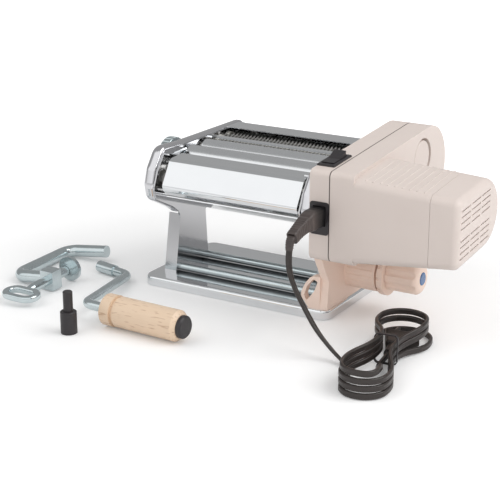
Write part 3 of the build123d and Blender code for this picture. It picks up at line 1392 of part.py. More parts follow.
output = wheel(
    rear_axis, OUTPUT_TEETH, LAST_MODULE,
    heading_to(rear_axis, second_axis) + math.pi / OUTPUT_TEETH, X_OUT, X_OUT_END,
)
output += disc(rear_axis, OUTPUT_SHAFT, X_SHAFT, X_OUT)
output += disc(rear_axis, OUTPUT_TAIL, X_OUT_END, SHAFT_END_OUT)
parts["output_gear"] = output
second = wheel(
    second_axis, LAST_PINION_TEETH, LAST_MODULE, heading_to(second_axis, rear_axis),
    X_OUT - PINION_LAP, X_OUT_END + PINION_LAP,
)
second += wheel(
    second_axis, WHEEL_TEETH, FIRST_MODULE, heading_to(second_axis, first_axis),
    X_SECOND, X_SECOND_END,
)
second += disc(second_axis, GEAR_SHAFT, SHAFT_END_IN, SHAFT_END_OUT)
parts["second_gear"] = second
first = wheel(
    first_axis, PINION_TEETH, FIRST_MODULE,
    heading_to(first_axis, second_axis) + math.pi / PINION_TEETH,
    X_SECOND - PINION_LAP, X_SECOND_END + PINION_LAP,
)
first += wheel(
    first_axis, WHEEL_TEETH, FIRST_MODULE, heading_to(first_axis, motor_axis),
    X_FIRST, X_FIRST_END,
)
first += disc(first_axis, GEAR_SHAFT, SHAFT_END_IN, SHAFT_END_OUT)
parts["first_gear"] = first

# Motor: stator on four posts, rear bracket, two bearings, rotor and fan
X_STATOR = X_WALL + STATOR_START
X_STATOR_END = X_STATOR + STATOR_LENGTH
X_BRACKET = X_STATOR_END + BRACKET_GAP
stator = ring(motor_axis, STATOR_RADIUS, STATOR_BORE, X_STATOR, X_STATOR_END)
for spot in around(motor_axis, POST_CIRCLE, POST_COUNT, math.pi / POST_COUNT):
    stator += disc(spot, POST_RADIUS, X_WALL, X_BRACKET)
parts["motor_stator"] = stator
parts["motor_bracket"] = ring(
    motor_axis, STATOR_RADIUS, BEARING_RADIUS + FIT, X_BRACKET, X_BRACKET + BRACKET_SHEET
)
parts["motor_bearings"] = Compound([
    ring(motor_axis, BEARING_RADIUS, ROTOR_SHAFT + FIT, X_WALL - BEARING_WIDTH, X_WALL),
    ring(motor_axis, BEARING_RADIUS, ROTOR_SHAFT + FIT, X_BRACKET, X_BRACKET + BEARING_WIDTH),
])
X_FAN = X_CAP + FAN_BACK
rotor = wheel(
    motor_axis, PINION_TEETH, FIRST_MODULE,
    heading_to(motor_axis, first_axis) + math.pi / PINION_TEETH,
    X_FIRST - PINION_LAP, X_FIRST_END + PINION_LAP,
)
rotor += disc(motor_axis, GEAR_SHAFT, X_FIRST_END, X_WALL - BEARING_WIDTH)
rotor += disc(motor_axis, ROTOR_SHAFT, X_WALL - BEARING_WIDTH, X_FAN + FAN_WIDTH + FAN_PLATE)
rotor += disc(motor_axis, ARMATURE_RADIUS, X_STATOR, X_STATOR_END)
rotor += disc(
    motor_axis, COMMUTATOR_RADIUS, X_STATOR_END, X_BRACKET - BRACKET_SHEET / 2
)
parts["motor_rotor"] = rotor
fan = ring(motor_axis, FAN_HUB, ROTOR_SHAFT + FIT, X_FAN, X_FAN + FAN_WIDTH)
fan += ring(motor_axis, FAN_RADIUS, FAN_HUB - FAN_BLADE, X_FAN, X_FAN + FAN_PLATE)
for k in range(FAN_BLADE_COUNT):
    blade = box(
        X_FAN, X_FAN + FAN_WIDTH, FAN_HUB - FAN_BLADE, FAN_RADIUS - FAN_BLADE,
        -FAN_BLADE / 2, FAN_BLADE / 2,
    )
    fan += Pos(0, motor_axis[0], motor_axis[1]) * Rot(360 * k / FAN_BLADE_COUNT, 0, 0) * blade
parts["motor_fan"] = fan
parts["gear_case_inner"] = inner_case
parts["gear_case_outer"] = outer_case

# Table clamp: a bent rod ending in a block, its screw, eye and pressure disc
disc_spot = Vector(*SCREW_DISC)
screw_way = (Vector(*SCREW_EYE) - disc_spot).normalized()
screw_plane = Plane(origin=disc_spot, x_dir=(1, 0, 0), z_dir=screw_way)
screw_side = screw_plane.x_dir


def lathe(points, plane):
    """Solid turned about the plane's axis from a profile in (radius, along)."""
    face = make_face(Polyline(*[(r, 0, s) for r, s in points], close=True))
    return plane * revolve(face, axis=Axis.Z)


block_spot = disc_spot + screw_way * BLOCK_AT
rod_end = block_spot - screw_side * (BLOCK_WIDTH / 2 - BLOCK_LAP)
hook_points = [
    (CLAMP_X + CLAMP_ARM, CLAMP_FAR_Y + CLAMP_TWIST, CLAMP_ROD + CLAMP_ARM_RISE),
    (CLAMP_X, CLAMP_FAR_Y, CLAMP_ROD), (CLAMP_X + CLAMP_TWIST, CLAMP_NEAR_Y, CLAMP_ROD),
    (rod_end.X, rod_end.Y, rod_end.Z),
]
hook, hook_length, hook_ratio = tube(hook_points, [CLAMP_ARC_RADIUS, CLAMP_ARC_RADIUS], CLAMP_ROD)
block = screw_plane * Pos(0, 0, BLOCK_AT) * Box(BLOCK_WIDTH, BLOCK_HEIGHT, BLOCK_LENGTH)
hook += block
hook -= screw_plane * Pos(0, 0, BLOCK_AT) * Cylinder(CLAMP_SCREW + FIT, 2 * BLOCK_LENGTH)
parts["clamp_hook"] = hook
half_disc = DISC_THICK / 2
pad = lathe([
    (0, -half_disc), (DISC_RADIUS, -half_disc), (DISC_RADIUS, half_disc),
    (DISC_HUB, half_disc), (DISC_HUB, half_disc + DISC_HUB_LENGTH),
    (DISC_SOCKET, half_disc + DISC_HUB_LENGTH), (DISC_SOCKET, half_disc), (0, half_disc),
], screw_plane)
parts["clamp_pad"] = pad
screw = lathe([
    (0, half_disc + SEAM), (CLAMP_SCREW, half_disc + SEAM), (CLAMP_SCREW, SCREW_NECK_AT),
    (EYE_BAR / 2, EYE_AT - EYE_WIDTH / 2 + EYE_BAR / 2), (0, EYE_AT - EYE_WIDTH / 2 + EYE_BAR / 2),
], screw_plane)
eye_plane = Plane(
    origin=disc_spot + screw_way * EYE_AT, x_dir=screw_side, z_dir=screw_side.cross(screw_way)
)
eye_face = SlotOverall(EYE_LENGTH, EYE_WIDTH)
eye_face -= SlotOverall(EYE_LENGTH - 2 * EYE_BAR, EYE_WIDTH - 2 * EYE_BAR)
eye = extrude(eye_plane.offset(-EYE_BAR / 2) * eye_face, amount=EYE_BAR)
eye_edges = [
    edge for edge in eye.edges()
    if abs((edge.center() - eye_plane.origin).dot(eye_plane.z_dir)) > EYE_ROUND
]
eye = fillet(eye_edges, EYE_ROUND)
parts["clamp_screw"] = screw + eye

# Crank: socket, bent rod and the turned handle that spins on its end
handle_start = Vector(*HANDLE_START)
handle_way = (Vector(*HANDLE_END) - handle_start).normalized()
handle_length = (Vector(*HANDLE_END) - handle_start).length
body_length = handle_length - HANDLE_CAP_LENGTH
crank_corner = handle_start - handle_way * CRANK_BACK
rod_tip = handle_start + handle_way * (body_length - HANDLE_PIN_SHORT)
socket_way = (Vector(*CRANK_CORNER) - Vector(*CRANK_SOCKET)).normalized()
rod_start = Vector(*CRANK_SOCKET) + socket_way * CRANK_SOCKET_DEPTH
crank_points = [
    (rod_start.X, rod_start.Y, rod_start.Z), CRANK_CORNER,
    (crank_corner.X, crank_corner.Y, crank_corner.Z), (rod_tip.X, rod_tip.Y, rod_tip.Z),
]
crank, crank_length, crank_ratio = tube(crank_points, [CRANK_ARC_RADIUS, CRANK_ARC_RADIUS], CRANK_ROD)
socket_plane = Plane(origin=CRANK_SOCKET, z_dir=socket_way)
crank += socket_plane * Pos(0, 0, CRANK_SOCKET_LENGTH / 2) * Cylinder(
    CRANK_SOCKET_RADIUS, CRANK_SOCKET_LENGTH
)
crank -= socket_plane * Cylinder(STUB_RADIUS + CRANK_STUB_PLAY, 2 * CRANK_SOCKET_DEPTH)
parts["crank_arm"] = crank
handle_plane = Plane(origin=handle_start, z_dir=handle_way)
bore = CRANK_ROD + FIT
bore_end = body_length - HANDLE_PIN_SHORT + SEAM
handle = lathe([
    (bore, 0), (HANDLE_COLLAR_RADIUS, 0), (HANDLE_COLLAR_RADIUS, HANDLE_COLLAR),
    (HANDLE_GROOVE_RADIUS, HANDLE_COLLAR), (HANDLE_GROOVE_RADIUS, HANDLE_COLLAR + HANDLE_GROOVE),
    (HANDLE_RADIUS, HANDLE_COLLAR + HANDLE_GROOVE), (HANDLE_RADIUS, body_length - HANDLE_CHAMFER),
    (HANDLE_CHAMFER_RADIUS, body_length), (0, body_length), (0, bore_end), (bore, bore_end),
], handle_plane)
parts["crank_handle"] = handle
parts["handle_cap"] = lathe([
    (0, body_length), (HANDLE_CAP_RADIUS, body_length),
    (HANDLE_CAP_RADIUS, handle_length - HANDLE_CAP_EDGE),
    (HANDLE_CAP_RADIUS - HANDLE_CAP_EDGE, handle_length), (0, handle_length),
], handle_plane)

# Adapter: a stepped sleeve standing on its base
adapter_plane = Plane(origin=(ADAPTER_X, ADAPTER_Y, 0), z_dir=(0, 0, 1))
parts["adapter"] = lathe([
    (ADAPTER_BORE, 0), (ADAPTER_BASE_RADIUS, 0), (ADAPTER_BASE_RADIUS, ADAPTER_BASE - ADAPTER_EDGE),
    (ADAPTER_BASE_RADIUS - ADAPTER_EDGE, ADAPTER_BASE), (ADAPTER_STEM_RADIUS, ADAPTER_BASE),
    (ADAPTER_STEM_RADIUS, ADAPTER_LENGTH - ADAPTER_EDGE),
    (ADAPTER_STEM_RADIUS - ADAPTER_EDGE, ADAPTER_LENGTH), (0, ADAPTER_LENGTH),
    (0, ADAPTER_BORE_DEPTH), (ADAPTER_BORE, ADAPTER_BORE_DEPTH),
], adapter_plane)

for name, shape in parts.items():
    export_step(shape, "parts/" + name + ".step")
print(len(parts), "nodes")
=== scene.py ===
"""Electric pasta machine: the looks of its pieces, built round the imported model."""

import math

import bmesh
import bpy
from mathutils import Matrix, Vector


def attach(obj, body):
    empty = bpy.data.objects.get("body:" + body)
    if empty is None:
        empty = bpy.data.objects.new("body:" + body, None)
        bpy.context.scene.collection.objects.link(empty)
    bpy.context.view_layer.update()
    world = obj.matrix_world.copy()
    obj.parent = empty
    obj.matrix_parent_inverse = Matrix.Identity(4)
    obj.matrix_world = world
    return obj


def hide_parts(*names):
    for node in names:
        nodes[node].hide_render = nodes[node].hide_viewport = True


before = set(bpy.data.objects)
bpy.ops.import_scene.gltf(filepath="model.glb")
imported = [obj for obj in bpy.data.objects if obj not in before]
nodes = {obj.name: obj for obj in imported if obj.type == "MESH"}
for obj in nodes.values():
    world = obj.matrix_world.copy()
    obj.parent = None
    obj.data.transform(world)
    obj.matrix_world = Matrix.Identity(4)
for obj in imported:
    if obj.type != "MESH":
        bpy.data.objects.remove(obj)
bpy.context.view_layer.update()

# Camera: a long lens in front of the machine, a little above it and to its right,
# as the photograph was taken.
camera = bpy.data.objects.new("camera", bpy.data.cameras.new("camera"))
camera.data.lens = 100.2
camera.data.sensor_width = 36.0
camera.data.clip_start = 0.05
camera.data.clip_end = 60.0
camera.location = (0.67885, -1.17855, 0.49021)
looks_at = Vector((0.03064, -0.08116, 0.0645))
camera.rotation_euler = (looks_at - camera.location).to_track_quat("-Z", "Y").to_euler()
bpy.context.scene.collection.objects.link(camera)
bpy.context.scene.camera = camera


# Mains cord: one length of flat two-core flex in dark brown rubber. It hangs from
# the connector, lies down on the table and is wound on edge in a hank of three turns
# with a tie round its waist. It ends in the flat plug.
class Signal:
    """One node socket. Plain maths on it adds Math nodes."""

    def __init__(self, tree, socket=None):
        self.tree = tree
        self.socket = socket

    def node(self, kind, settings=None, sockets=None, out=0):
        """A node from its type, its settings and the values or links of its sockets."""
        made = self.tree.nodes.new("ShaderNode" + kind)
        for name, value in (settings or {}).items():
            setattr(made, name, value)
        for name, value in (sockets or {}).items():
            if isinstance(value, Signal):
                self.tree.links.new(value.socket, made.inputs[name])
            else:
                made.inputs[name].default_value = value
        return Signal(self.tree, made.outputs[out] if made.outputs else None)

    def maths(self, operation, *values):
        return self.node("Math", {"operation": operation}, dict(enumerate(values)))

    def __add__(self, other):
        return self.maths("ADD", self, other)

    def __sub__(self, other):
        return self.maths("SUBTRACT", self, other)

    def __rsub__(self, other):
        return self.maths("SUBTRACT", other, self)

    def __mul__(self, other):
        return self.maths("MULTIPLY", self, other)

    def __abs__(self):
        return self.maths("ABSOLUTE", self)

    __radd__ = __add__
    __rmul__ = __mul__

    def band(self, low, high):
        """0 at low, 1 at high, a straight ramp between, and no further past either."""
        return self.node(
            "MapRange", {"clamp": True}, {"Value": self, "From Min": low, "From Max": high}
        )

    def tint(self, first, second):
        """The first colour where this is 0 and the second where it is 1."""
        factor, first_in, second_in, colour_out = 0, 6, 7, 2
        return self.node(
            "Mix", {"data_type": "RGBA"},
            {factor: self, first_in: colour_of(first), second_in: colour_of(second)}, colour_out,
        )

    def spot(self):
        """The point in the piece's own space, in metres."""
        return self.node("TexCoord", out="Object")

    def along(self, axis):
        """The point's place along X, Y or Z."""
        return self.node("SeparateXYZ", {}, {"Vector": self.spot()}, axis)

    def noise(self, scale, detail=3.0, rough=0.5, stretch=(1, 1, 1)):
        """Noise in the piece's own space, scale in grains to a metre."""
        stretched = self.node("Mapping", {}, {"Vector": self.spot(), "Scale": stretch})
        return self.node(
            "TexNoise", {},
            {"Vector": stretched, "Scale": scale, "Detail": detail, "Roughness": rough},
        )


def colour_of(seen):
    """A display colour of 0 to 255 as a linear one, by the sRGB curve, or a signal as it is."""
    if isinstance(seen, Signal):
        return seen
    linear = [
        c / 255 / 12.92 if c <= 10 else ((c / 255 + 0.055) / 1.055) ** 2.4 for c in seen
    ]
    return (*linear, 1.0)


def finish(name, make):
    """A material whose shader sockets and bump come from the function make."""
    material = bpy.data.materials.new(name)
    material.use_nodes = True
    tree = material.node_tree
    tree.nodes.clear()
    pen = Signal(tree)
    sockets = make(pen)
    normal = None
    for height, strength, reach in sockets.pop("bumps"):
        links = {"Height": height, "Strength": strength, "Distance": reach}
        if normal:
            links["Normal"] = normal
        normal = pen.node("Bump", {}, links)
    sockets["Normal"] = normal
    shader = pen.node("BsdfPrincipled", {}, sockets)
    pen.node("OutputMaterial", {}, {"Surface": shader})
    return material


def dress(material, *names):
    """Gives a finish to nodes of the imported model."""
    for name in names:
        slots = nodes[name].data.materials
        slots.clear()
        slots.append(material)


def flex_rubber(pen):
    grain = pen.noise(2600.0, 4.0)
    smears = pen.noise(45.0, 2.0)
    return {
        "Base Color": smears.tint((40, 35, 33), (58, 51, 48)),
        "Roughness": smears * 0.14 + 0.24,
        "bumps": [(grain, 0.10, 0.0002)],
    }


rubber = finish("flex_rubber", flex_rubber)
mm_per_metre = 1000.0
cord_floor = 3.0
free_route = [
    (108.15, -142.5, 99.5), (108.7, -147.3, 84.0), (115.5, -148.6, 64.5), (126.5, -147.2, 44.5),
    (139.5, -148.3, 26.0), (153.5, -146.6, 10.5), (168.5, -151.5, 3.0), (178.6, -160.2, 3.0),
]

# The hank's own plan has u across it and v along it, with the tie where both are 0.
hank_centre = (200.0, -130.0)
hank_axis = (0.991, 0.135)
hank_column = 6.8
waist_reach = 16.0
waist_lift = 1.5
level_step = 6.8
lobe_step = 36.0
lower_lobe = 21.0
top_lower_lobe = 20.0
lower_lobe_at = -60.5
lower_ease = 16.0
upper_lobes = [(25.0, 56.3), (22.5, 50.5), (22.5, 50.5)]
upper_ease = 15.0
upper_levels = [cord_floor, 17.2, 24.2]
lower_levels = [cord_floor + level_step * k for k in range(len(upper_lobes) + 1)]
hank_start = (-lower_lobe, -39.5, cord_floor)
last_stretch = [
    (2.0, -81.2, 23.4), (10.5, -79.0, 23.4), (14.6, -71.0, 23.4), (13.6, -55.0, 22.8),
    (3.2, -36.0, 9.0), (0.0, -22.0, 6.85), (0.0, -7.0, 6.85), (0.0, 7.0, 6.85),
]


def in_hank(u, v, z):
    """A point of the hank's own plan, placed on the table."""
    (x, y), (cosine, sine) = hank_centre, hank_axis
    return (x + cosine * u - sine * v, y + sine * u + cosine * v, z)


def lobe(radius, centre, z, side, heading, count=5):
    """Points round one loop, from its widest side towards the other."""
    reach = radius / math.cos(math.radians(lobe_step / 2))
    angles = [math.radians(lobe_step * (k + 0.5)) for k in range(count)]
    return [
        in_hank(side * reach * math.cos(a), centre + heading * reach * math.sin(a), z)
        for a in angles
    ]


def past_tie(side, z):
    """Two points of one run past the tie: up the plan on the right, down it on the left."""
    return [in_hank(side * hank_column, v * waist_reach, z + waist_lift) for v in (-side, side)]


route = free_route + [in_hank(*hank_start)]
for turn, (radius, centre) in enumerate(upper_lobes):
    low, high, above = lower_levels[turn], upper_levels[turn], lower_levels[turn + 1]
    route += lobe(lower_lobe, lower_lobe_at, low, -1, -1)
    route.append(in_hank(lower_lobe, lower_lobe_at + lower_ease, low))
    route += past_tie(1, low)
    route.append(in_hank(radius, centre - upper_ease, high))
    route += lobe(radius, centre, high, 1, 1)
    route.append(in_hank(-radius, centre - upper_ease, high))
    route += past_tie(-1, above)
    route.append(in_hank(-lower_lobe, lower_lobe_at + lower_ease, above))
route += lobe(top_lower_lobe, lower_lobe_at, lower_levels[-1], -1, -1, count=2)
route += [in_hank(*spot) for spot in last_stretch]


def smooth_line(points, resolution):
    """Points of a NURBS spline with these control points in millimetres, in metres."""
    curve = bpy.data.curves.new("line", "CURVE")
    curve.dimensions = "3D"
    curve.resolution_u = resolution
    spline = curve.splines.new("NURBS")
    spline.points.add(len(points) - 1)
    for control, point in zip(spline.points, points):
        control.co = [c / mm_per_metre for c in point] + [1.0]
    spline.order_u = 3
    spline.use_endpoint_u = True
    holder = bpy.data.objects.new("line", curve)
    mesh = bpy.data.meshes.new_from_object(holder)
    line = [vertex.co.copy() for vertex in mesh.vertices]
    bpy.data.objects.remove(holder)
    bpy.data.meshes.remove(mesh)
    return line


def flex_rings(line, section, twist):
    """A flat section stood across a line; twist gives its turn after a distance."""
    rings = []
    travelled = 0.0
    for index, spot in enumerate(line):
        before = line[max(index - 1, 0)]
        after = line[min(index + 1, len(line) - 1)]
        if index:
            travelled += (spot - before).length
        way = (after - before).normalized()
        across = way.cross(Vector((0, 0, 1))).normalized()
        rise = across.cross(way)
        turn = twist(travelled)
        wide = across * math.cos(turn) + rise * math.sin(turn)
        thin = wide.cross(way)
        rings.append([spot + wide * a + thin * b for a, b in section])
    return rings


def skin_over(mesh, rings, round_ends=False):
    """Skin over rings with the same number of points, closed at both ends."""
    rows = [[mesh.verts.new(spot) for spot in ring] for ring in rings]
    count = len(rows[0])
    for one, other in zip(rows, rows[1:]):
        for k in range(count):
            following = (k + 1) % count
            mesh.faces.new((one[k], one[following], other[following], other[k]))
    mesh.faces.new(rows[0])
    mesh.faces.new(reversed(rows[-1]))
    bmesh.ops.recalc_face_normals(mesh, faces=mesh.faces)
    for face in mesh.faces:
        face.smooth = round_ends or len(face.verts) == 4


def plain_mesh(name, source, *materials):
    """The mesh of a bmesh, which it uses up."""
    mesh = bpy.data.meshes.new(name)
    source.to_mesh(mesh)
    source.free()
    for material in materials:
        mesh.materials.append(material)
    return mesh


def new_piece(name, mesh, body):
    """A piece at the origin, riding on a body."""
    piece = bpy.data.objects.new(name, mesh)
    bpy.context.scene.collection.objects.link(piece)
    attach(piece, body)
    return piece


# The flex's section, in metres: two round cores side by side with a slight waist.
core, half_width, waist = 0.00175, 0.00300, 0.00135
core_step, core_points = 36.0, range(-3, 4)
section = []
for side in (1, -1):
    for step in core_points:
        angle = math.radians(step * core_step)
        section.append((
            side * (half_width - core) + side * core * math.cos(angle), side * core * math.sin(angle),
        ))
    section.append((0.0, side * waist))
flat_run, turning_run = 0.06, 0.11


def on_edge(distance):
    """Flat on its way down to the table, on edge where it is wound."""
    share = min(max((distance - flat_run) / turning_run, 0.0), 1.0)
    return math.radians(90) * share * share * (3 - 2 * share)


line = smooth_line(route, resolution=7)
cord_mesh = bmesh.new()
skin_over(cord_mesh, flex_rings(line, section, on_edge), round_ends=True)
cord = new_piece(
    "mains_cord", plain_mesh("mains_cord", cord_mesh, rubber), "machine"
)
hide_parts("cord", "cord_hank")
dress(rubber, "mains_plug")


# Appliance connector: soft brown-black vinyl moulded round its contacts. It is tall at
# the inlet, waisted, grooved for the fingers towards its tail, and the flex leaves the
# hollow tail through a ribbed boot that bends down.
body_route = [
    (108.15, -86.6, 112.5), (108.15, -104.0, 113.2), (108.15, -122.0, 111.4),
    (108.15, -138.6, 105.2),
]
half_widths = [(0, 6.5), (0.46, 6.7), (0.53, 5.9), (0.58, 6.1), (1, 5.0)]
half_heights = [(0, 9.0), (0.30, 9.2), (0.46, 8.0), (0.53, 7.0), (0.58, 7.2), (1, 5.6)]
body_corner = 2.2
groove_depth, groove_pace, grip_start, grip_end = 0.32, 60, 0.62, 0.93
hollow_corner = 1.6
hollow_steps = [(1.3, 0.0), (1.6, -0.4), (1.6, -2.6)]
boot_route = [
    (108.15, -135.2, 106.2), (108.15, -141.0, 104.4), (108.25, -142.9, 101.0),
    (108.30, -143.9, 95.0),
]
boot_half_width, boot_half_height, boot_corner = 3.9, 2.9, 1.7
boot_width_taper, boot_height_taper = 0.6, 0.7
rib_height, rib_pace, ribs_end = 0.35, 44, 0.9
nose_start, nose_end = -0.109, -0.099


def rounded_ring(half_width, half_height, corner, steps=4):
    """Points round a rectangle with rounded corners."""
    ring = []
    for quarter, (side, end) in enumerate(((1, 1), (-1, 1), (-1, -1), (1, -1))):
        for step in range(steps + 1):
            angle = math.radians(90 * (quarter + step / steps))
            ring.append((
                side * (half_width - corner) + corner * math.cos(angle),
                end * (half_height - corner) + corner * math.sin(angle),
            ))
    return ring


def placed_ring(spot, way, flat):
    """A flat ring in millimetres, stood across the way it is carried."""
    across = Vector((1, 0, 0))
    up = way.cross(across).normalized() * -1
    return [spot + across * (a / mm_per_metre) + up * (b / mm_per_metre) for a, b in flat]


def rings_along(line, flat_at):
    """Rings stood across a line; flat_at gives the one at a share of the way."""
    rings = []
    for index, spot in enumerate(line):
        after = line[min(index + 1, len(line) - 1)]
        way = (after - line[max(index - 1, 0)]).normalized()
        rings.append(placed_ring(spot, way, flat_at(index / (len(line) - 1))))
    return rings


def shape_between(share, stops):
    """A value that runs through stops of (share, value)."""
    for (s0, v0), (s1, v1) in zip(stops, stops[1:]):
        if share <= s1:
            return v0 + (v1 - v0) * max(share - s0, 0.0) / (s1 - s0)
    return stops[-1][1]


def body_ring(share):
    """The body's outline, drawn in by the finger grooves near its tail."""
    groove = 0.0
    if grip_start < share < grip_end:
        groove = groove_depth * abs(math.sin(share * groove_pace))
    return rounded_ring(
        shape_between(share, half_widths) - groove, shape_between(share, half_heights) - groove,
        body_corner,
    )


def boot_ring(share):
    """The boot's outline, tapered towards the flex, with ribs that end before it does."""
    rib = rib_height if share < ribs_end and math.sin(share * rib_pace) > 0 else 0.0
    return rounded_ring(
        boot_half_width - share * boot_width_taper + rib,
        boot_half_height - share * boot_height_taper + rib, boot_corner,
    )


body_line = smooth_line(body_route, resolution=40)
body_rings = rings_along(body_line, body_ring)
tail, way = body_line[-1], (body_line[-1] - body_line[-2]).normalized()
tail_half_width, tail_half_height = half_widths[-1][1], half_heights[-1][1]
for inset, depth in hollow_steps:
    body_rings.append(placed_ring(tail + way * depth / mm_per_metre, way, rounded_ring(
        tail_half_width - inset, tail_half_height - inset, hollow_corner,
    )))
connector_mesh = bmesh.new()
skin_over(connector_mesh, body_rings)
skin_over(connector_mesh, rings_along(smooth_line(boot_route, resolution=24), boot_ring))


def soft_vinyl(pen):
    """Scuffed all over but for the nose, which darkens in the shade of the inlet."""
    grain = pen.noise(1500.0, 3.0, 0.6)
    scuffs = pen.noise(130.0, 4.0, 0.6)
    nose = pen.along("Y").band(nose_start, nose_end)
    return {
        "Base Color": nose.tint(scuffs.tint((54, 47, 46), (90, 81, 78)), (16, 15, 17)),
        "Roughness": scuffs * 0.2 + 0.30,
        "bumps": [(grain, 0.16, 0.0003)],
    }


vinyl = finish("soft_vinyl", soft_vinyl)
connector = new_piece(
    "mains_connector", plain_mesh("mains_connector", connector_mesh, vinyl), "machine",
)
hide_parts("connector")


# Tie, switch, inlet, handle cap and adapter: black nylon and ABS mouldings with a
# fine spark-eroded grain.
inlet_well, inlet_rim = -0.0862, -0.0868


def black_moulding(pen):
    grain = pen.noise(3200.0, 2.0)
    wear = pen.noise(60.0, 3.0)
    return {
        "Base Color": wear.tint((38, 36, 38), (56, 52, 54)),
        "Roughness": wear * 0.18 + 0.32,
        "bumps": [(grain, 0.10, 0.00015)],
    }


def inlet_moulding(pen):
    """The same plastic, without light in the well behind the rim."""
    sockets = black_moulding(pen)
    rim = pen.along("Y").band(inlet_well, inlet_rim)
    sockets["Base Color"] = rim.tint((9, 9, 11), sockets["Base Color"])
    return sockets


black = finish("black_moulding", black_moulding)
dress(black, "cord_tie", "switch_bezel", "switch_rocker", "handle_cap", "adapter")
dress(finish("inlet_moulding", inlet_moulding), "mains_inlet")


# Motor unit: gear case in two halves, motor housing, slotted cap and release button,
# moulded in pinkish cream ABS with a fine matt grain. Along the joint of the case
# halves, a dark line of painted shade stands for the shade in the gap.
case_joint, joint_shade_half, joint_shade_fade = 0.118, 0.0003, 0.0007


def cream_moulding(pen):
    grain = pen.noise(2400.0, 3.0, 0.6)
    tone = pen.noise(22.0, 3.0)
    return {
        "Base Color": tone.tint((217, 204, 197), (223, 211, 204)),
        "Roughness": pen.noise(160.0, 2.0) * 0.12 + 0.40,
        "Coat Weight": 0.05,
        "bumps": [(grain, 0.09, 0.00018)],
    }


def joint_shaded_moulding(pen):
    """The same plastic, with painted shade as a dark line along the joint."""
    sockets = cream_moulding(pen)
    # Painted shade: a dark line where the case halves meet, for the shade in the gap.
    clear_of_joint_shade = abs(pen.along("X") - case_joint).band(joint_shade_half, joint_shade_fade)
    sockets["Base Color"] = clear_of_joint_shade.tint((74, 62, 58), sockets["Base Color"])
    return sockets


cream = finish("cream_moulding", cream_moulding)
dress(cream, "motor_housing", "end_cap", "release_button")
dress(finish("case_moulding_joint_shade", joint_shaded_moulding), "gear_case_inner", "gear_case_outer")


# Grip ribs: nine low ribs moulded across the top of the motor housing. The housing
# tapers away from the gear case, so each rib lies a little lower than the last.
rib_count = 9
rib_pitch = (0.0072, 0.0, -0.000397)
first_rib = 152.0
rib_profile = ((-0.9, -0.4), (-0.6, 0.22), (-0.2, 0.42), (0.2, 0.42), (0.6, 0.22), (0.9, -0.4))
corner_centre, corner_radius, corner_angles = (-78.004, 143.38), 8.0, (112, 101, 90)
back_centre, back_radius, back_angles = (-20.504, 115.46), 40.22, (94, 88, 82, 76)


def arc_points(centre, radius, degrees):
    """Points (y, z) of an arc at these angles."""
    angles = [math.radians(d) for d in degrees]
    return [(centre[0] + radius * math.cos(a), centre[1] + radius * math.sin(a)) for a in angles]


def repeat_along(name, base, count, offset, material):
    """The mesh of a small piece repeated in a straight row by Geometry Nodes."""
    tree = bpy.data.node_groups.new(name, "GeometryNodeTree")
    face = tree.interface
    face.new_socket("Piece", in_out="INPUT", socket_type="NodeSocketGeometry")
    amount = face.new_socket("Count", in_out="INPUT", socket_type="NodeSocketInt")
    pitch = face.new_socket("Pitch", in_out="INPUT", socket_type="NodeSocketVector")
    finish_in = face.new_socket("Finish", in_out="INPUT", socket_type="NodeSocketMaterial")
    face.new_socket("Row", in_out="OUTPUT", socket_type="NodeSocketGeometry")
    given = tree.nodes.new("NodeGroupInput")
    row = tree.nodes.new("GeometryNodeMeshLine")
    copies = tree.nodes.new("GeometryNodeInstanceOnPoints")
    solid = tree.nodes.new("GeometryNodeRealizeInstances")
    dressed = tree.nodes.new("GeometryNodeSetMaterial")
    out = tree.nodes.new("NodeGroupOutput")
    for start, end in (
        (given.outputs["Count"], row.inputs["Count"]),
        (given.outputs["Pitch"], row.inputs["Offset"]),
        (row.outputs["Mesh"], copies.inputs["Points"]),
        (given.outputs["Piece"], copies.inputs["Instance"]),
        (copies.outputs["Instances"], solid.inputs["Geometry"]),
        (solid.outputs["Geometry"], dressed.inputs["Geometry"]),
        (given.outputs["Finish"], dressed.inputs["Material"]),
        (dressed.outputs["Geometry"], out.inputs["Row"]),
    ):
        tree.links.new(start, end)
    holder = bpy.data.objects.new(name + "_base", plain_mesh(name + "_base", base))
    bpy.context.scene.collection.objects.link(holder)
    modifier = holder.modifiers.new(name, "NODES")
    modifier.node_group = tree
    modifier[amount.identifier] = count
    modifier[pitch.identifier] = offset
    modifier[finish_in.identifier] = material
    seen = holder.evaluated_get(bpy.context.evaluated_depsgraph_get())
    result = bpy.data.meshes.new_from_object(seen)
    result.name = name
    holder.modifiers.remove(modifier)
    bpy.data.objects.remove(holder)
    return result


path = arc_points(corner_centre, corner_radius, corner_angles)
path += arc_points(back_centre, back_radius, back_angles)
rib_rings = []
for index, (y, z) in enumerate(path):
    back, ahead = path[max(index - 1, 0)], path[min(index + 1, len(path) - 1)]
    tangent = Vector((0, ahead[0] - back[0], ahead[1] - back[1])).normalized()
    outward = Vector((1, 0, 0)).cross(tangent)
    rib_rings.append([
        (Vector((first_rib + a, y, z)) + outward * b) / mm_per_metre for a, b in rib_profile
    ])
rib_mesh = bmesh.new()
skin_over(rib_mesh, rib_rings)
ribs_mesh = repeat_along("grip_ribs", rib_mesh, rib_count, rib_pitch, cream)
new_piece("grip_ribs", ribs_mesh, "machine")


# Support foot with its collar, ring and knob: the same plastic in a warmer beige,
# with painted light that makes it paler to offset the shade of the motor above it,
# and a blue cap pressed into the knob's end.
def beige_moulding_painted_pale(pen):
    grain = pen.noise(2400.0, 3.0, 0.6)
    tone = pen.noise(26.0, 3.0)
    return {
        # Painted light: both beiges are paler than the plastic's own colour, to offset the shade
        # under the motor.
        "Base Color": tone.tint((243, 217, 201), (247, 224, 210)),
        "Roughness": pen.noise(150.0, 2.0) * 0.12 + 0.38,
        "bumps": [(grain, 0.09, 0.00018)],
    }


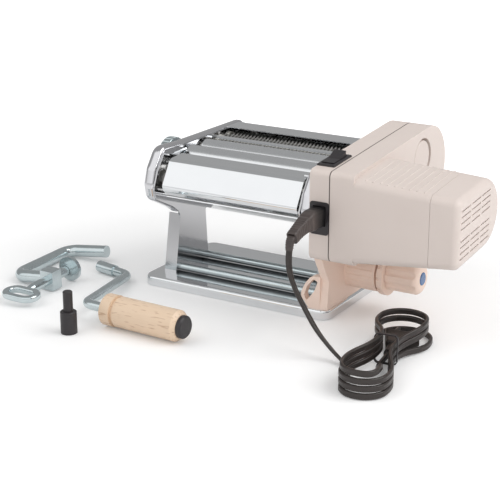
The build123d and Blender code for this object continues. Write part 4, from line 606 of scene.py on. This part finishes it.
def blue_gloss(pen):
    clouds = pen.noise(110.0, 2.0)
    return {
        "Base Color": clouds.tint((58, 98, 150), (78, 122, 172)),
        "Roughness": clouds * 0.1 + 0.16,
        "Coat Weight": 0.4,
        "bumps": [(pen.noise(500.0, 2.0), 0.04, 0.0003)],
    }


beige = finish("beige_moulding_painted_pale", beige_moulding_painted_pale)
dress(beige, "support_foot", "knob_collar", "lock_ring", "support_knob")
dress(finish("blue_gloss", blue_gloss), "knob_cap")


# Tray, frames, covers and panels: pressed steel, chromed and buffed. Faint cloudy
# marks and fine buffing lines show in its shine.
lengthwise = (0.02, 1.0, 1.0)
upright = (1.0, 1.0, 0.03)


def paler(shade, step):
    return [min(c + step, 255) for c in shade]


def chrome_at(shade, gloss, stretch):
    def chrome(pen):
        marks = pen.noise(30.0, 4.0, 0.6)
        lines = pen.noise(900.0, 3.0, 0.6, stretch)
        return {
            "Base Color": marks.tint(shade, paler(shade, 8)),
            "Metallic": 1.0,
            "Roughness": marks.band(0.35, 0.75) * 0.05 + (lines * 0.04 + gloss),
            "bumps": [(lines, 0.02, 0.0001), (pen.noise(14.0, 1.0), 0.03, 0.0010)],
        }
    return chrome


dress(finish("chromed_panel", chrome_at((238, 240, 242), 0.05, lengthwise)),
      "front_panel", "rear_cover", "rear_guide", "base_tray", "lower_chute", "feed_guides")
# The frames and covers take the same chrome as the panels in darker colours, set to how dark each
# part looks: painted shade.
dress(finish("chromed_side_painted_shade", chrome_at((198, 198, 200), 0.09, upright)),
      "side_frame_left", "side_frame_right")
dress(finish("chromed_cover_painted_shade", chrome_at((222, 222, 225), 0.09, upright)),
      "side_cover_left", "side_cover_right")


# Rollers, cutters and combs: hard anodised aluminium rollers turned bright, and
# nickel-plated steel discs, with fine rings from the lathe. The gears are oiled steel.
def turned_metal(shade, gloss):
    def turned(pen):
        rings = pen.noise(1500.0, 2.0, 0.5, (1.0, 0.02, 0.02))
        patches = pen.noise(50.0, 3.0)
        return {
            "Base Color": patches.tint(shade, paler(shade, 10)),
            "Metallic": 1.0,
            "Roughness": patches * 0.08 + (rings * 0.10 + gloss),
            "bumps": [(rings, 0.05, 0.0001)],
        }
    return turned


dress(finish("bright_roller", turned_metal((234, 236, 238), 0.12)),
      "smooth_roller_rear", "smooth_roller_front")
dress(finish("nickel_steel", turned_metal((190, 189, 186), 0.20)),
      "wide_cutter_front", "wide_cutter_rear", "fine_cutter_front", "fine_cutter_rear",
      "wide_combs", "fine_combs", "link_rod", "motor_bearings")
dress(finish("oiled_gear_steel", turned_metal((128, 126, 122), 0.26)),
      "smooth_gear_rear", "smooth_gear_front", "output_gear")


# Clamp, crank, rods and dial: steel and die-cast zinc with a bright blue-passivated
# plating that is cloudy and a little uneven.
rod_underside, rod_top = 0.0125, 0.0160


def zinc_plate(pen):
    clouds = pen.noise(70.0, 4.0, 0.6)
    spangle = pen.noise(420.0, 2.0)
    return {
        "Base Color": clouds.tint((196, 209, 212), (224, 232, 234)),
        "Metallic": 1.0,
        "Roughness": clouds * 0.12 + (spangle * 0.05 + 0.10),
        "bumps": [(spangle, 0.02, 0.0003), (pen.noise(1600.0, 2.0), 0.03, 0.0001)],
    }


def rod_zinc_shaded_under(pen):
    """The same plating, rougher on the side that faces the tray, with painted shade that darkens that
    side.
    """
    sockets = zinc_plate(pen)
    unshaded_top = pen.along("Z").band(rod_underside, rod_top)
    # Painted shade: the underside that faces the tray is coloured darker.
    sockets["Base Color"] = unshaded_top.tint((118, 122, 124), sockets["Base Color"])
    sockets["Roughness"] = sockets["Roughness"] * unshaded_top + (1.0 - unshaded_top) * 0.62
    return sockets


dress(finish("rod_zinc_shaded_under", rod_zinc_shaded_under), "tie_rods")
dress(finish("zinc_plate", zinc_plate),
      "clamp_hook", "clamp_pad", "clamp_screw", "crank_arm", "thickness_dial",
      "eccentric_bushes", "frame_screws", "motor_bracket")


# Crank handle: turned beech under clear lacquer. Short dark flecks lie along the
# grain, which runs with the handle's length.
def lacquered_beech(pen):
    figure = pen.noise(26.0, 3.0, 0.5, (0.16, 1.0, 1.0))
    fibre = pen.noise(900.0, 3.0, 0.6, (0.05, 1.0, 1.0))
    flecks = pen.noise(620.0, 1.0, 0.4, (0.14, 1.0, 1.0)).band(0.60, 0.70)
    wood = figure.tint((230, 201, 172), (241, 220, 195))
    grained = (fibre * 0.35).tint(wood, (216, 182, 150))
    return {
        "Base Color": (flecks * 0.5).tint(grained, (178, 134, 100)),
        "Roughness": fibre * 0.15 + 0.32,
        "Coat Weight": 0.25,
        "bumps": [(fibre, 0.08, 0.0002)],
    }


dress(finish("lacquered_beech", lacquered_beech), "crank_handle")


# Inside the machine: natural nylon bushes, gears and fan, and the motor's varnished
# laminations, which only show through slots and gaps.
def nylon(pen):
    clouds = pen.noise(90.0, 2.0)
    return {
        "Base Color": clouds.tint((226, 224, 216), (238, 236, 229)),
        "Roughness": clouds * 0.1 + 0.40,
        "bumps": [(pen.noise(1800.0, 2.0), 0.06, 0.0001)],
    }


def laminations(pen):
    sheets = pen.noise(1700.0, 1.0, 0.5, (1.0, 0.02, 0.02))
    return {
        "Base Color": sheets.tint((52, 46, 44), (86, 76, 70)),
        "Metallic": 0.7,
        "Roughness": sheets * 0.2 + 0.42,
        "bumps": [(sheets, 0.25, 0.0002)],
    }


dress(finish("natural_nylon", nylon),
      "shaft_bushes", "roller_sleeves", "first_gear", "second_gear", "motor_fan")
dress(finish("motor_laminations", laminations), "motor_stator", "motor_rotor")


# Studio: white paper that runs out of sight, soft light from all round and one large
# lamp above on the right. Two weaker lamps in front, high on the left and low on the
# right, fill the shadows and don't show in the chrome.
floor_half, floor_drop = 14.0, 0.0004
glow_start, glow_end, near_glow, added_glow = 0.26, 0.80, 0.12, 0.45
wall_shade, horizon_shade, horizon_lean = 0.65, 0.45, 0.15
soft_level = 0.58
white = (1, 1, 1, 1)


def white_floor(pen):
    """Paper that keeps the shadows and, to the camera alone, glows out to plain white."""
    seen_by_camera = pen.node("LightPath", out="Is Camera Ray")
    sheen = pen.noise(3.0, 1.0) * 0.02 + 0.90
    paper = pen.node("BsdfDiffuse", {}, {"Color": sheen.tint((0, 0, 0), (255, 255, 255))})
    away = pen.node("VectorMath", {"operation": "LENGTH"}, {"Vector": pen.spot()}, "Value")
    glow = away.band(glow_start, glow_end) * added_glow + near_glow
    light = pen.node("Emission", {}, {"Color": white, "Strength": seen_by_camera * glow})
    both = pen.node("AddShader", {}, {0: paper, 1: light})
    pen.node("OutputMaterial", {}, {"Surface": both})


floor_material = bpy.data.materials.new("white_floor")
floor_material.use_nodes = True
floor_material.node_tree.nodes.clear()
white_floor(Signal(floor_material.node_tree))
floor_mesh = bmesh.new()
bmesh.ops.create_grid(floor_mesh, x_segments=2, y_segments=2, size=floor_half)
floor = bpy.data.objects.new("floor", plain_mesh("floor", floor_mesh, floor_material))
floor.location = (0.0, 0.0, -floor_drop)
bpy.context.scene.collection.objects.link(floor)

# The chrome sees a white tent. Its wall behind the machine is grey, and so is a band
# round the horizon in front.
world = bpy.data.worlds.new("studio")
bpy.context.scene.world = world
world.use_nodes = True
world.node_tree.nodes.clear()
sky = Signal(world.node_tree)
seen_by_camera = sky.node("LightPath", out="Is Camera Ray")
seen_in_gloss = sky.node("LightPath", out="Is Glossy Ray")
direction = sky.node("TexCoord", out="Generated")
side, depth, height = (
    sky.node("SeparateXYZ", {}, {"Vector": direction}, axis) for axis in "XYZ"
)
back_wall = depth.band(-0.38, -0.26)
horizon = height.band(-0.06, 0.04) * (1.0 - height.band(0.10, 0.26))
tent = 1.0 - back_wall * wall_shade - horizon * (1.0 - back_wall) * (
    side * horizon_lean + horizon_shade
)
level = seen_in_gloss * tent + (1.0 - seen_in_gloss) * soft_level
strength = seen_by_camera + (1.0 - seen_by_camera) * level
background = sky.node("Background", {}, {"Color": white, "Strength": strength})
sky.node("OutputWorld", {}, {"Surface": background})

for name, place, size, power in (
    ("key_lamp", (1.35, 0.25, 1.45), 1.5, 18.5),
    ("fill_lamp", (-0.9, -0.9, 1.7), 1.6, 8.0),
    ("low_lamp", (1.15, -1.25, 0.30), 0.9, 4.0),
):
    lamp = bpy.data.lights.new(name, "AREA")
    lamp.size = size
    lamp.energy = power
    stand = bpy.data.objects.new(name, lamp)
    stand.location = place
    stand.rotation_euler = (-Vector(place)).to_track_quat("-Z", "Y").to_euler()
    stand.visible_glossy = name == "key_lamp"
    bpy.context.scene.collection.objects.link(stand)

bpy.context.scene.view_settings.view_transform = "Standard"
